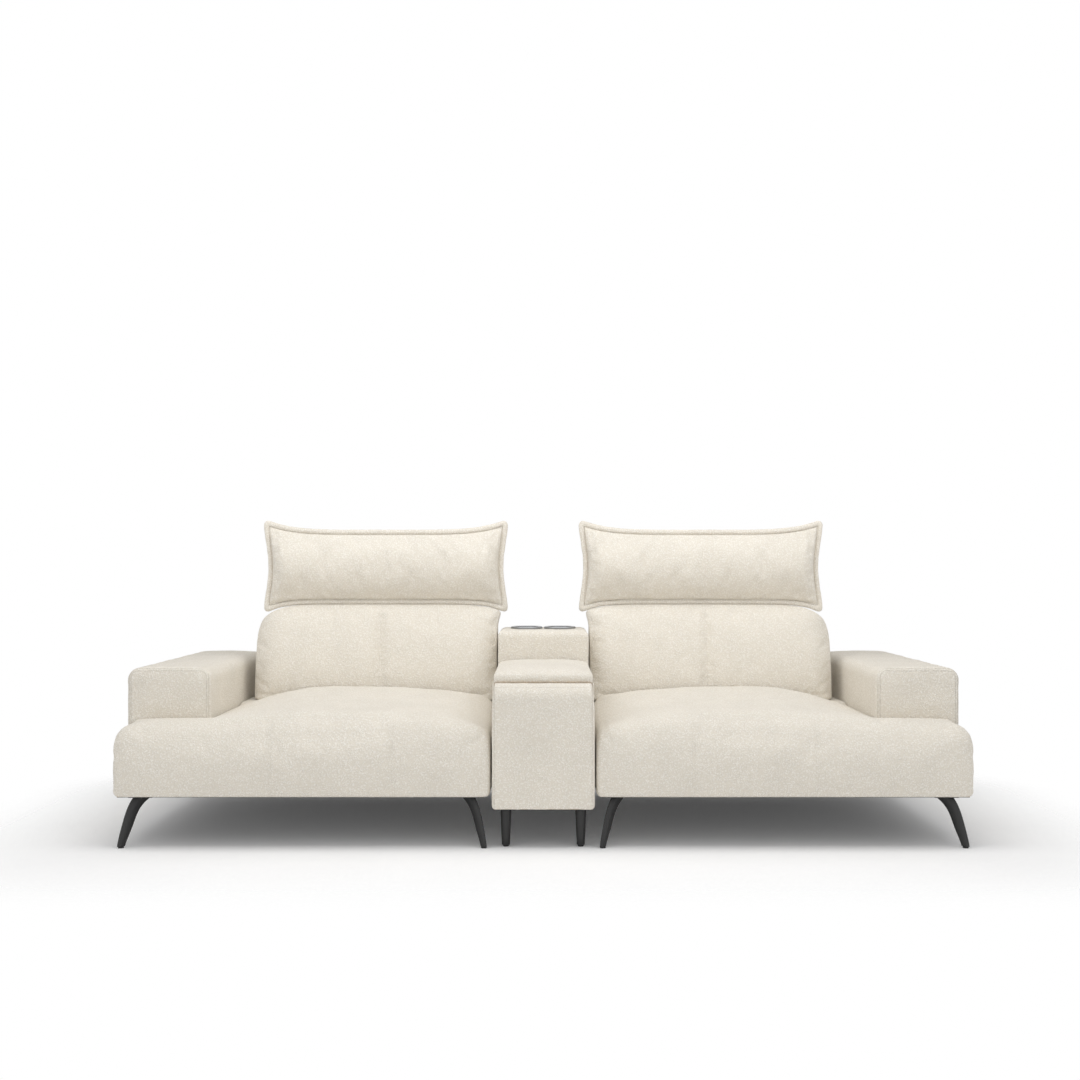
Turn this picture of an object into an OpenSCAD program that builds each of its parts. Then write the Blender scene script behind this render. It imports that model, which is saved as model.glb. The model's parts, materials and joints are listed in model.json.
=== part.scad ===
// Two-seat upholstered sofa with a fixed storage console between its seats.
// X runs along the sofa, -Y is its front, Z is up, and the origin is on the floor under its middle.
// Left and right are as seen from the front.

/* [Overall] */
// Width over both arms
sofa_w = 2740; // [2600:10:2900]
// Depth from the seat fronts to the back
sofa_d = 1040; // [1000:10:1100]
// Air gap between the console and each seat unit
unit_gap = 4; // [2:1:8]
// Floor to the underside of the seat units
under_h = 156; // [140:2:170]

/* [Seats] */
// Floor to the low ledge in front of each arm
ledge_h = 392; // [385:1:398]
// Rise of the seat's edges from the front to the backrest
edge_rise = 22; // [10:1:26]
// Crown of the seat above its edges at the backrest
crown_h = 41; // [20:1:50]
// Radius of the seat's upper edges
seat_round = 60; // [40:2:70]

/* [Arms] */
// Width of each arm
arm_w = 275; // [240:5:300]
// Floor to the top of each arm
arm_h = 558; // [540:2:580]
// Distance of the arm's front behind the seat's front
arm_setback = 187; // [170:1:200]
// Radius of the arm's long edges
arm_round = 30; // [20:1:35]

/* [Back] */
// Floor to the top of the back cushion
back_h = 743; // [735:1:744]
// Gap between the back cushion and the arm
back_side_gap = 38; // [32:1:60]
// Depth of the back cushion at its foot
back_d = 224; // [210:2:236]
// Depth of the outer back behind it
shell_d = 220; // [200:2:240]
// Recline of the back cushion's face from bottom to top
back_lean = 71; // [50:1:80]
// Height of the rounding of the back cushion's upper corners, beyond the headrest's ends
back_round = 100; // [70:2:110]
// Width of that rounding
back_corner_w = 50; // [40:1:60]

/* [Headrest] */
// Reach of the headrest over the console's side
rest_overhang = 19; // [10:1:24]
// Gap between the back cushion's top and the headrest's flange
rest_gap = 4; // [3:1:8]
// Height of the headrest at its middle
rest_h = 278; // [250:1:290]
// Thickness of the headrest
rest_t = 130; // [120:1:132]
// Reach of the eared corners beyond the waist
ear = 18; // [10:1:20]
// Drop and rise of the eared corners
ear_h = 38; // [30:1:40]
// Width of the flange around the headrest
flange_w = 16; // [12:1:22]
// Thickness of that flange
flange_t = 12; // [8:1:16]

/* [Console] */
// Width of the console
console_w = 326; // [320:2:350]
// Floor to the underside of the console
console_under = 121; // [110:1:130]
// Floor to the top of the console's body
console_h = 515; // [510:1:520]
// Depth of the padded front panel
panel_d = 58; // [50:1:64]
// Length of the lid
lid_l = 506; // [490:2:508]
// Height of the lid's padding over its board
lid_pad_h = 30; // [26:1:32]
// Floor to the top of the cup block
block_h = 660; // [640:2:670]
// Diameter of a cup holder's flange
cup_flange_d = 117; // [112:1:119]
// Distance between the cup holders' centres
cup_pitch = 122; // [120:1:130]
// Inside diameter of a cup holder
cup_d = 88; // [80:1:92]
// Inside depth of a cup holder
cup_depth = 80; // [60:1:85]

/* [Legs] */
// Sideways splay of a seat leg from top to foot
leg_splay = 55; // [40:1:60]
// Width of a seat leg at its top
leg_w = 80; // [70:1:84]
// Thickness of a seat leg
leg_t = 20; // [16:1:22]
// Top diameter of a console leg
peg_top_d = 35; // [32:1:38]
// Foot diameter of a console leg
peg_foot_d = 26; // [24:1:30]

/* [Hidden] */
$fn = 48;
fit = 0.5;
eps = 1;
cover_t = 18;
thick_cover = 30;
corner_round = 12;
fabric_t = 1.5;
unit_x0 = console_w / 2 + unit_gap;
unit_x1 = sofa_w / 2;
front_y = -sofa_d / 2;
rear_y = sofa_d / 2;
arm_x0 = unit_x1 - arm_w;
arm_y0 = front_y + arm_setback;
back_y0 = rear_y - shell_d;
seat_y1 = back_y0 - back_d;
seat_d = seat_y1 - front_y;

// Timber frame, webbing and back
rail_t = 25;
board_t = 15;
rail_h = 90;
post_w = 40;
block_w = 80;
skirt_drop = 2;
side_pad = 20;
rear_pad = 22;
frame_z0 = under_h + skirt_drop;
frame_z1 = frame_z0 + rail_h;
frame_x0 = unit_x0 + side_pad;
frame_x1 = unit_x1 - cover_t;
frame_y0 = front_y + thick_cover;
frame_y1 = rear_y - rear_pad;
strap_t = 4;
strap_w = 60;
strap_n = 6;
deck_z = frame_z1 + strap_t;
tuck_rise = 8;
tuck_z = ledge_h + tuck_rise;
back_gap = 3;
back_x0 = unit_x0 + back_gap;
back_w = arm_x0 - back_side_gap - back_x0;
shell_h_gap = 16;
back_top = back_h - shell_h_gap;
back_skin = 20;
back_face_t = 6;
shell_inset = 12;
shell_round = 100;
back_plan_round = 80;
back_reach = 18;
shell_x1 = back_x0 + back_w - shell_inset;

// Headrest and its ratchets
rest_tuck = 37;
top_curve = 5;
low_curve = 8;
rest_low = back_h + rest_gap;
rest_x0 = unit_x0 - rest_overhang;
rest_w = back_x0 + back_w - rest_tuck - rest_x0;
rest_x = rest_x0 + rest_w / 2;
rest_set_back = 139;
rest_y = seat_y1 + rest_set_back;
pivot_back = 88;
pivot_rise = 16;
pivot_y = rest_y + pivot_back;
pivot_z = rest_low + pivot_rise;
pin_r = 4;
run_fit = 0.05;
eye_r = 12;
arm_plate_t = 6;
ear_plate_t = 4;
ear_play = 0.5;
ratchet_pitch = 500;
foot_plate_t = 3;
foot_plate_d = 50;
slot_fit = 0.3;
rest_board_w = 600;
rest_board_h = 190;
rest_board_rise = 46;
rest_board_back = 9;
ratchet_arm_d = 18;
rest_board_y = rest_y + rest_board_back;
rest_board_z0 = rest_low + rest_board_rise;
arm_y1 = rest_board_y + board_t + ratchet_arm_d;

// Console
skin_t = 8;
console_x = console_w / 2;
box_x = console_x - skin_t;
box_z0 = console_under + fabric_t;
lid_gap = 9;
lid_y0 = front_y + panel_d + eps;
lid_y1 = lid_y0 + lid_l;
block_y0 = lid_y1 + lid_gap;
lid_z0 = console_h + eps;
lid_board_t = 12;
lid_inset = 3;
lid_x = console_x - lid_inset;
hinge_r = 4;
hinge_pin_r = 2.4;
leaf_t = 1.5;
hinge_rise = 32;
hinge_y = block_y0 - hinge_r;
hinge_z = lid_z0 + hinge_rise;
hinge_l = 60;
hinge_pitch = 160;
knuckle_l = 20;
knuckle_play = 0.5;
tub_wall = 2.5;
tub_drop = 10;
tub_rear_gap = 45;
tub_top = console_h - tub_drop;
tub_y1 = lid_y1 - tub_rear_gap;
cup_set_back = 123;
cup_x = cup_pitch / 2;
cup_y = block_y0 + cup_set_back;
cup_wall = 1.2;
cup_lip = 6;
block_round = 25;

// Legs, glides, screws and bolts
glide_h = 5;
glide_r = 9;
plate_w = 78;
plate_t = 3;
leg_outer_inset = 91;
leg_inner_inset = 76;
leg_inset_y = 70;
leg_x0 = unit_x0 + leg_inner_inset;
leg_x1 = unit_x1 - leg_outer_inset;
leg_y0 = front_y + leg_inset_y;
leg_y1 = rear_y - leg_inset_y;
screw_r = 2.5;
screw_head_r = 5;
screw_head_h = 1.4;
screw_l = 28;
screw_pitch = 58;
peg_plate_w = 66;
peg_pitch = 50;
peg_inset_x = 44;
peg_inset_y = 43;
peg_x = console_x - peg_inset_x;
peg_y0 = front_y + peg_inset_y;
peg_y1 = rear_y - peg_inset_y;
bolt_r = 4;
bolt_hole_r = bolt_r + fit;
bolt_head_r = 8;
bolt_head_h = 5;
bolt_rise = 62;
bolt_inset = 60;
bolt_pitch = 120;
bolt_z = frame_z0 + bolt_rise;
bolt_ys = [rear_y - bolt_inset - bolt_pitch, rear_y - bolt_inset];

SIDE_NODES = ["base_frame", "seat_webbing", "dust_cover", "seat_cushion", "arm_frame", "arm_pad", "back_frame",
    "outer_back", "back_cushion", "headrest_cushion", "headrest_board", "ratchet_arms", "ratchet_brackets",
    "ratchet_pins", "front_outer_leg", "front_inner_leg", "rear_outer_leg", "rear_inner_leg"];
SHARED_NODES = ["console_carcass", "console_front_panel", "console_left_side", "console_right_side",
    "console_rear_panel", "console_dust_cover", "storage_tub", "lid_board", "lid_pad", "lid_hinge_leaves",
    "fixed_hinge_leaves", "lid_hinge_pins", "cup_block", "left_cup_holder", "right_cup_holder",
    "console_front_left_leg", "console_front_right_leg", "console_rear_left_leg", "console_rear_right_leg",
    "leg_glides", "leg_screws", "unit_bolts"];

cream = [0.90, 0.87, 0.81];
timber = [0.80, 0.65, 0.45];
black = [0.10, 0.10, 0.10];
steel = [0.70, 0.70, 0.72];
cloth = [0.20, 0.20, 0.20];

// A share that eases from 0 to 1, and one that rises like a quarter circle
function ease(t) = let (c = min(1, max(0, t))) c * c * (3 - 2 * c);
function bow(t) = let (c = min(1, max(0, t))) sqrt(1 - (1 - c) * (1 - c));
function mean(list) = [for (k = [0:2]) [for (p = list) p[k]] * [for (p = list) 1] / len(list)];
// Places along a span: close together in the rounding at each end, then evenly spread
END_SHARES = [0, 0.03, 0.12, 0.32, 0.62];
function stations(low, high, r, n) = concat([for (s = END_SHARES) low + s * r],
    [for (i = [0:n]) low + r + (high - low - 2 * r) * i / n],
    [for (i = [len(END_SHARES) - 1:-1:0]) high - END_SHARES[i] * r]);
// How far an end's rounding draws the surface in at a distance from that end
function draw_in(d, r) = r * (1 - bow(d / r));

// Closed skin over rings of points
module skin(rings) {
    n = len(rings[0]);
    m = len(rings);
    points = concat([for (r = rings) each r], [mean(rings[0]), mean(rings[m - 1])]);
    sides = [for (i = [0:m - 2], j = [0:n - 1]) let (k = (j + 1) % n)
        each [[i * n + j, i * n + k, (i + 1) * n + j], [i * n + k, (i + 1) * n + k, (i + 1) * n + j]]];
    ends = [for (j = [0:n - 1]) let (k = (j + 1) % n)
        each [[m * n, k, j], [m * n + 1, (m - 1) * n + j, (m - 1) * n + k]]];
    polyhedron(points, concat(sides, ends));
}

module on_side(s) {
    mirror([s < 0 ? 1 : 0, 0, 0]) children();
}

// Box from its low corner to its high corner
module span(low, high) {
    translate(low) cube(high - low);
}

// Cylinder along X from one X to another
module rod_x(x0, x1, y, z, r) {
    translate([x0, y, z]) rotate([0, 90, 0]) cylinder(r = r, h = x1 - x0);
}

// Seat unit, drawn for the right side

function seat_top(x, y) = let (v = (y - front_y) / seat_d, s = (x - unit_x0) / (arm_x0 - unit_x0),
    c = min(1, max(0, s)), level = c < 0.5 ? pow(sin(180 * c), 0.6) : ease((1 - c) / 0.3),
    swell = ease(c / 0.3) * ease((1 - c) / 0.35))
    ledge_h + edge_rise * ease((v - 0.35) / 0.65) * ease((1 - c) / 0.25)
    + crown_h * (0.5 + 0.5 * ease(v)) * (ease(v) * level + (1 - ease(v)) * swell);

FACE_SHARES = [0.1, 0.35, 0.6, 0.85];
TOP_SHARES = [0.15, 0.32, 0.5, 0.68, 0.84, 0.96];
seat_bulge = 6;
function seat_ring(x) = let (d = min(x - unit_x0, unit_x1 - x), up = draw_in(d, seat_round),
    low = draw_in(d, corner_round), y0 = front_y + up * 0.2, z0 = under_h + low, r = seat_round,
    zr = seat_top(x, front_y + r) - up - r)
    concat([[x, back_y0 - eps, z0], [x, arm_y0, z0], [x, y0 + corner_round + seat_bulge, z0],
    [x, y0 + corner_round / 3 + seat_bulge, z0 + corner_round / 3]],
    [for (s = FACE_SHARES) [x, y0 + seat_bulge * pow(2 * s - 1, 2), z0 + corner_round + s * (zr - z0 - corner_round)]],
    [for (a = [15:25:90]) [x, y0 + seat_bulge * cos(a) / 2 + r * (1 - cos(a)), zr + r * sin(a)]],
    [for (s = TOP_SHARES) let (y = front_y + r + s * (seat_d - r)) [x, y, seat_top(x, y) - up]],
    [[x, seat_y1, tuck_z - up / 2], [x, (seat_y1 + back_y0) / 2, tuck_z - up / 2],
    [x, back_y0 - eps, tuck_z - up / 2]]);

module seat_cushion() {
    color(cream) difference() {
        skin([for (x = stations(unit_x0, unit_x1, seat_round, 11)) seat_ring(x)]);
        span([frame_x0 - fit, frame_y0 - fit, 0], [frame_x1 + fit, rear_y, deck_z]);
        span([arm_x0 - fit, arm_y0 - fit, 0], [unit_x1 + eps, rear_y, arm_h]);
    }
}

module leg_places(x0, x1, y0, y1) {
    for (x = [x0, x1], y = [y0, y1]) translate([x, y, 0]) children();
}

module screw_holes(r, z, h, pitch = screw_pitch) {
    for (a = [0:90:270]) rotate([0, 0, a]) translate([pitch / 2, 0, z]) cylinder(r = r, h = h);
}

module base_frame() {
    color(timber) difference() {
        union() {
            for (x = [frame_x0, arm_x0, frame_x1 - rail_t])
                span([x, frame_y0, frame_z0], [x + rail_t, frame_y1, frame_z1]);
            for (y = [frame_y0, seat_y1, frame_y1 - rail_t])
                span([frame_x0, y, frame_z0], [frame_x1, y + rail_t, frame_z1]);
            leg_places(leg_x0, leg_x1, leg_y0, leg_y1)
                translate([-block_w / 2, -block_w / 2, frame_z0]) cube([block_w, block_w, rail_h / 2]);
        }
        leg_places(leg_x0, leg_x1, leg_y0, leg_y1) screw_holes(screw_r, frame_z0 - eps, screw_l);
        for (y = bolt_ys) rod_x(frame_x0 - eps, frame_x0 + rail_t + eps, y, bolt_z, bolt_hole_r);
    }
}

module seat_webbing() {
    color(cloth) {
        for (i = [1:strap_n]) let (y = frame_y0 + (back_y0 - frame_y0) * i / (strap_n + 1))
            span([frame_x0, y - strap_w / 2, frame_z1], [arm_x0 + cover_t - fit, y + strap_w / 2, deck_z]);
        for (i = [1:strap_n]) let (x = frame_x0 + (arm_x0 - frame_x0) * i / (strap_n + 1))
            span([x - strap_w / 2, frame_y0, frame_z1], [x + strap_w / 2, back_y0, deck_z]);
    }
}

module dust_cover() {
    color(cloth) difference() {
        span([frame_x0, frame_y0, frame_z0 - fabric_t], [frame_x1, frame_y1, frame_z0]);
        leg_places(leg_x0, leg_x1, leg_y0, leg_y1)
            cube([plate_w + 2 * fit, plate_w + 2 * fit, under_h * 3], center = true);
    }
}

module arm_frame() {
    x0 = arm_x0 + cover_t;
    y0 = arm_y0 + cover_t;
    z1 = arm_h - cover_t;
    color(timber) {
        for (x = [x0, frame_x1 - board_t]) span([x, y0, frame_z1], [x + board_t, frame_y1, z1]);
        for (y = [y0, frame_y1 - board_t]) span([x0, y, frame_z1], [frame_x1, y + board_t, z1]);
        span([x0, y0, z1 - board_t], [frame_x1, frame_y1, z1]);
    }
}

arm_camber = 4;
function arm_ring(y) = let (in = max(draw_in(y - arm_y0, arm_round), draw_in(rear_y - y, corner_round)) * 0.8,
    x0 = arm_x0 + in, x1 = unit_x1 - in, z0 = under_h + in, z1 = arm_h - in, r = arm_round)
    concat([[x0, y, z0], [(x0 + x1) / 2, y, z0], [x1, y, z0], [x1, y, (z0 + z1) / 2]],
    [for (a = [0:22.5:90]) [x1 - r + r * cos(a), y, z1 - r - arm_camber + r * sin(a)]],
    [for (s = [0.7, 0.5, 0.3]) [x0 + s * (x1 - x0), y, z1 - arm_camber * pow(2 * s - 1, 2)]],
    [for (a = [90:22.5:180]) [x0 + r + r * cos(a), y, z1 - r - arm_camber + r * sin(a)]],
    [[x0, y, (z0 + z1) / 2]]);

module arm_pad() {
    color(cream) difference() {
        skin([for (y = stations(arm_y0, rear_y, arm_round, 5)) arm_ring(y)]);
        span([arm_x0 + cover_t - fit, arm_y0 + cover_t - fit, frame_z1 - eps],
            [frame_x1 + fit, frame_y1 + fit, arm_h - cover_t + fit]);
        span([arm_x0 - eps, arm_y0 - eps, 0], [frame_x1 + fit, frame_y1 + fit, deck_z]);
    }
}

// Front view of the outer back, drawn smaller by an inset, with a step down beside the arm
module back_outline(in) {
    x0 = unit_x0 + in;
    x1 = shell_x1 - in;
    z1 = back_top - in;
    r = shell_round - in;
    translate([x0, deck_z]) square([arm_x0 - fit - in - x0, tuck_z - in - deck_z]);
    translate([x0, deck_z]) square([x1 - x0, z1 - r - deck_z]);
    translate([x0 + r, deck_z]) square([x1 - x0 - 2 * r, z1 - deck_z]);
    for (x = [x0 + r, x1 - r]) translate([x, z1 - r]) circle(r);
}

module upright(y0, y1) {
    translate([0, y1, 0]) rotate([90, 0, 0]) linear_extrude(y1 - y0) children();
}

module outer_back() {
    color(cream) difference() {
        union() {
            upright(back_y0, rear_y) back_outline(0);
            span([unit_x0, back_y0, under_h], [arm_x0 - fit, rear_y, deck_z + eps]);
        }
        upright(back_y0 + back_face_t, rear_y - back_skin) back_outline(back_skin);
        span([frame_x0 - fit, back_y0 - eps, 0], [arm_x0 + eps, frame_y1 + fit, deck_z + eps]);
        for (y = bolt_ys) rod_x(unit_x0 - eps, frame_x0 + eps, y, bolt_z, bolt_hole_r);
    }
}

// Timber posts and rails that stand on the base frame and fill the outer back
module back_frame() {
    y0 = back_y0 + back_face_t + fit;
    y1 = frame_y1;
    x0 = unit_x0 + back_skin + fit;
    x1 = shell_x1 - back_skin - fit;
    z1 = back_top - back_skin - fit;
    color(timber) {
        for (x = [x0, x1 - rail_t], y = [y0, y1 - post_w])
            span([x, y, frame_z1], [x + rail_t, y + post_w, z1 - shell_round]);
        span([x0 + shell_round, y0, z1 - rail_t], [x1 - shell_round, y1, z1]);
        for (y = [y0, y1 - rail_t]) {
            span([x0, y, z1 - shell_round - post_w], [x1, y + rail_t, z1 - shell_round]);
            span([x0 + shell_round, y, z1 - shell_round], [x1 - shell_round, y + rail_t, z1]);
        }
    }
}

back_bulge = 10;
BACK_SHARES = [0, 0.12, 0.3, 0.5, 0.7, 0.88, 1];
function back_ring(x) = let (x1 = back_x0 + back_w, corner = 1 - bow((x1 - x) / back_corner_w),
    dip = ear_h * pow(min(1, abs(x - rest_x) / (rest_w / 2)), low_curve),
    in = max(draw_in(x - back_x0, cover_t * 2), draw_in(x1 - x, back_plan_round)),
    z0 = tuck_z + fit, r = thick_cover + cover_t, y1 = back_y0 - fit,
    z1 = back_h - dip - back_round * corner - draw_in(x - back_x0, corner_round),
    y0 = seat_y1 + fit + in, tilt = back_lean * (1 - corner / 2), lean = tilt / (back_h - z0 - r))
    [for (p = concat([[x, y1 - in / 2, z0], [x, (seat_y1 + y1) / 2, z0]],
    [for (s = BACK_SHARES) let (z = z0 + s * (z1 - z0 - r))
        [x, y0 + lean * (z - z0) + back_bulge * pow(2 * s - 1, 2), z]],
    [for (a = [25:30:85]) [x, y0 + tilt + back_bulge + r * (1 - cos(a)), z1 - r + r * sin(a)]],
    [[x, (y0 + tilt + r + y1) / 2, z1], [x, y1 - r / 2, z1 - r / 8], [x, y1 - in / 2, z1 - r],
    [x, y1 - in / 2, (z0 + z1) / 2]])) [p[0] - back_reach * inner_share(p), p[1], p[2]]];
// Share of the reach over the console for a point: only above the cup block, on that side
function inner_share(p) = ease((p[2] - block_h) / (back_h - block_h)) * (1 - ease((p[0] - back_x0) / back_plan_round));

module back_cushion() {
    color(cream) skin([for (x = stations(back_x0, back_x0 + back_w, back_plan_round, 9)) back_ring(x)]);
}

// Headrest: a flanged pillow with eared corners, drawn about its middle
RISE_SHARES = [0, 0.06, 0.2, 0.4, 0.6, 0.8, 0.94, 1];
bulge_w = 75;
function rest_ring(s) = let (hw = rest_w / 2, side = hw * (1 - abs(s)), in = draw_in(side, corner_round),
    low = rest_low - ear_h * pow(abs(s), low_curve) + in,
    high = rest_low + rest_h + ear_h * pow(abs(s), top_curve) - in,
    f = flange_t / 2, b = (rest_t / 2 - f) * bow((side - flange_w) / bulge_w),
    z0 = low + flange_w, z1 = high - flange_w,
    row = [for (k = RISE_SHARES) [f + b * pow(sin(180 * k), 0.55), z0 + k * (z1 - z0)]],
    half = concat([[f, low]], row, [[f, high]]))
    concat([for (p = half) rest_point(s, -p[0], p[1])],
    [for (i = [len(half) - 1:-1:0]) rest_point(s, half[i][0], half[i][1])]);
function rest_point(s, y, z) = let (v = (z - rest_low - rest_h / 2) / (rest_h / 2 + ear_h))
    [rest_x + s * (rest_w / 2 + ear * pow(sin(90 * v), 2)), rest_y + y, z];
flange_share = flange_w / (rest_w / 2);
REST_SHARES = concat([0, 0.45, 0.9, 1.02, 1.25, 1.8, 3, 5], [for (i = [1:3]) 5 + (1 / flange_share - 5) * i / 3]);
function rest_stations() = concat([for (k = REST_SHARES) -1 + k * flange_share],
    [for (i = [len(REST_SHARES) - 2:-1:0]) 1 - REST_SHARES[i] * flange_share]);

module ratchet_places() {
    for (x = [rest_x - ratchet_pitch / 2, rest_x + ratchet_pitch / 2]) translate([x, 0, 0]) children();
}

module headrest_cushion() {
    color(cream) difference() {
        skin([for (s = rest_stations()) rest_ring(s)]);
        span([rest_x - rest_board_w / 2 - slot_fit, rest_board_y - slot_fit, rest_low - ear_h],
            [rest_x + rest_board_w / 2 + slot_fit, rest_board_y + board_t + slot_fit,
            rest_board_z0 + rest_board_h + slot_fit]);
        ratchet_places() span([-arm_plate_t, rest_board_y, rest_low - ear_h],
            [arm_plate_t, arm_y1 + fit, rest_board_z0 + rest_board_h - rail_t + fit]);
    }
}

module headrest_board() {
    color(timber) span([rest_x - rest_board_w / 2, rest_board_y, rest_board_z0],
        [rest_x + rest_board_w / 2, rest_board_y + board_t, rest_board_z0 + rest_board_h]);
}

// Cranked steel plates from the board to the pivot
module ratchet_arms() {
    y0 = rest_board_y + board_t;
    color(black) ratchet_places() difference() {
        union() {
            span([-arm_plate_t / 2, y0, rest_board_z0], [arm_plate_t / 2, arm_y1, rest_board_z0 + rest_board_h - rail_t]);
            span([-arm_plate_t / 2, y0, pivot_z - eye_r], [arm_plate_t / 2, pivot_y, pivot_z + eye_r]);
            span([-arm_plate_t / 2, y0, pivot_z], [arm_plate_t / 2, arm_y1, rest_board_z0 + eps]);
            rod_x(-arm_plate_t / 2, arm_plate_t / 2, pivot_y, pivot_z, eye_r);
        }
        rod_x(-arm_plate_t, arm_plate_t, pivot_y, pivot_z, pin_r + run_fit);
    }
}

ear_x = arm_plate_t / 2 + ear_play;
module ratchet_brackets() {
    color(black) ratchet_places() difference() {
        union() {
            for (x = [-ear_x - ear_plate_t, ear_x]) {
                rod_x(x, x + ear_plate_t, pivot_y, pivot_z, eye_r);
                span([x, back_y0 + eps, back_top], [x + ear_plate_t, pivot_y + eye_r, pivot_z]);
            }
            span([-foot_plate_d / 2, back_y0 + eps, back_top], [foot_plate_d / 2, back_y0 + foot_plate_d, back_top + foot_plate_t]);
        }
        rod_x(-foot_plate_d, foot_plate_d, pivot_y, pivot_z, pin_r + run_fit);
    }
}

module ratchet_pins() {
    color(steel) ratchet_places() {
        rod_x(-ear_x - ear_plate_t - eps, ear_x + ear_plate_t + eps, pivot_y, pivot_z, pin_r);
        for (x = [-ear_x - ear_plate_t - 3 * eps, ear_x + ear_plate_t + eps / 2])
            rod_x(x, x + 2.5 * eps, pivot_y, pivot_z, pin_r * 1.5);
    }
}

// Curved blade that splays on the diagonal, from its mounting plate down to the glide
CURVE_SHARES = [[0, 0, 0.38, 0.7], [0.3, 0.19, 0.5, 0.8], [0.56, 0.37, 0.57, 0.9], [0.76, 0.55, 0.63, 0.95],
    [0.91, 0.78, 0.82, 1], [1, 1, 1, 1]];
module leg(sx, sy) {
    h = frame_z0 - plate_t - glide_h;
    rings = [for (c = CURVE_SHARES) let (d = leg_splay * (c[1] - 1) * sqrt(2), w = leg_w * c[2] / 2, t = leg_t * c[3] / 2)
        [for (p = [[w, 0], [w / 3, -t], [-w * 0.7, -t * 0.6], [-w, 0], [-w * 0.7, t * 0.6], [w / 3, t]])
            [-d + p[0], p[1], glide_h + h * c[0]]]];
    color(black) {
        mirror([sx < 0 ? 1 : 0, 0, 0]) mirror([0, sy < 0 ? 1 : 0, 0]) rotate([0, 0, 45]) skin(rings);
        difference() {
            translate([-plate_w / 2, -plate_w / 2, frame_z0 - plate_t]) cube([plate_w, plate_w, plate_t]);
            screw_holes(screw_r, 0, under_h * 2);
            screw_holes(screw_head_r, 0, frame_z0 - plate_t + screw_head_h);
        }
    }
}

module peg() {
    z1 = box_z0;
    color(black) {
        translate([0, 0, glide_h]) cylinder(r1 = peg_foot_d / 2, r2 = peg_top_d / 2, h = console_under - plate_t - glide_h);
        difference() {
            translate([-peg_plate_w / 2, -peg_plate_w / 2, z1 - plate_t]) cube([peg_plate_w, peg_plate_w, plate_t]);
            screw_holes(screw_r, 0, under_h * 2, peg_pitch);
            screw_holes(screw_head_r, 0, z1 - plate_t + screw_head_h, peg_pitch);
        }
        translate([0, 0, console_under - plate_t]) cylinder(d = peg_top_d, h = fabric_t);
    }
}

module all_legs() {
    for (s = [-1, 1]) on_side(s) leg_places(leg_x0, leg_x1, leg_y0, leg_y1) children(0);
    leg_places(-peg_x, peg_x, peg_y0, peg_y1) children(1);
}

module leg_glides() {
    color(black) {
        for (s = [-1, 1]) on_side(s) for (sx = [-1, 1], sy = [-1, 1])
            translate([(sx < 0 ? leg_x0 : leg_x1) + sx * leg_splay, (sy < 0 ? leg_y0 : leg_y1) + sy * leg_splay, 0])
                cylinder(r = glide_r, h = glide_h);
        leg_places(-peg_x, peg_x, peg_y0, peg_y1) cylinder(r = glide_r, h = glide_h);
    }
}

module screws(z, pitch) {
    screw_holes(screw_r, z, screw_l - eps, pitch);
    screw_holes(screw_head_r - run_fit, z, screw_head_h, pitch);
}

module leg_screws() {
    color(steel) all_legs() {
        screws(frame_z0 - plate_t, screw_pitch);
        screws(box_z0 - plate_t, peg_pitch);
    }
}

module unit_bolts() {
    x0 = box_x - board_t;
    x1 = frame_x0 + rail_t;
    color(steel) for (s = [-1, 1], y = bolt_ys) on_side(s) {
        rod_x(x0, x1, y, bolt_z, bolt_r);
        rod_x(x0 - bolt_head_h, x0, y, bolt_z, bolt_head_r);
        rod_x(x1, x1 + bolt_head_h, y, bolt_z, bolt_head_r);
    }
}

// Console

module console_carcass() {
    x0 = box_x - board_t;
    y0 = front_y + panel_d;
    y1 = rear_y - skin_t;
    color(timber) difference() {
        union() {
            for (x = [-box_x, x0]) span([x, y0, box_z0], [x + board_t, y1, console_h]);
            for (y = [y0, block_y0, y1 - board_t]) span([-box_x, y, box_z0], [box_x, y + board_t, console_h]);
            span([-box_x, front_y + skin_t, box_z0], [box_x, y1, box_z0 + 2 * board_t]);
        }
        for (y = bolt_ys) rod_x(-console_x, console_x, y, bolt_z, bolt_hole_r);
        leg_places(-peg_x, peg_x, peg_y0, peg_y1) screw_holes(screw_r, box_z0 - eps, screw_l, peg_pitch);
    }
}

// Side view of the front panel, rounded at its upper front edge
module console_front_panel() {
    y0 = front_y;
    y1 = front_y + panel_d;
    r = seat_round * 0.75;
    color(cream) difference() {
        translate([-console_x, 0, 0]) rotate([90, 0, 90]) linear_extrude(console_w) union() {
            translate([y0, console_under]) square([panel_d, console_h - r - console_under]);
            translate([y0 + r, console_under]) square([panel_d - r, console_h - console_under]);
            intersection() {
                translate([y0 + r, console_h - r]) circle(r);
                translate([y0, console_h - r]) square([r, r]);
            }
        }
        span([-box_x - fit, y0 + skin_t - fit, 0], [box_x + fit, y1 + eps, box_z0 + 2 * board_t + fit]);
    }
}

module console_side(s) {
    on_side(s) color(cream) difference() {
        span([box_x, front_y + panel_d + fit, console_under], [console_x, rear_y - skin_t - fit, console_h]);
        for (y = bolt_ys) rod_x(box_x - eps, console_x + eps, y, bolt_z, bolt_hole_r);
    }
}

module console_rear_panel() {
    color(cream) span([-console_x, rear_y - skin_t, console_under], [console_x, rear_y, console_h]);
}

module console_dust_cover() {
    color(cloth) difference() {
        span([-box_x, front_y + skin_t, console_under], [box_x, rear_y - skin_t - fit, box_z0]);
        leg_places(-peg_x, peg_x, peg_y0, peg_y1)
            cube([peg_plate_w + 2 * fit, peg_plate_w + 2 * fit, under_h * 3], center = true);
    }
}

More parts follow.
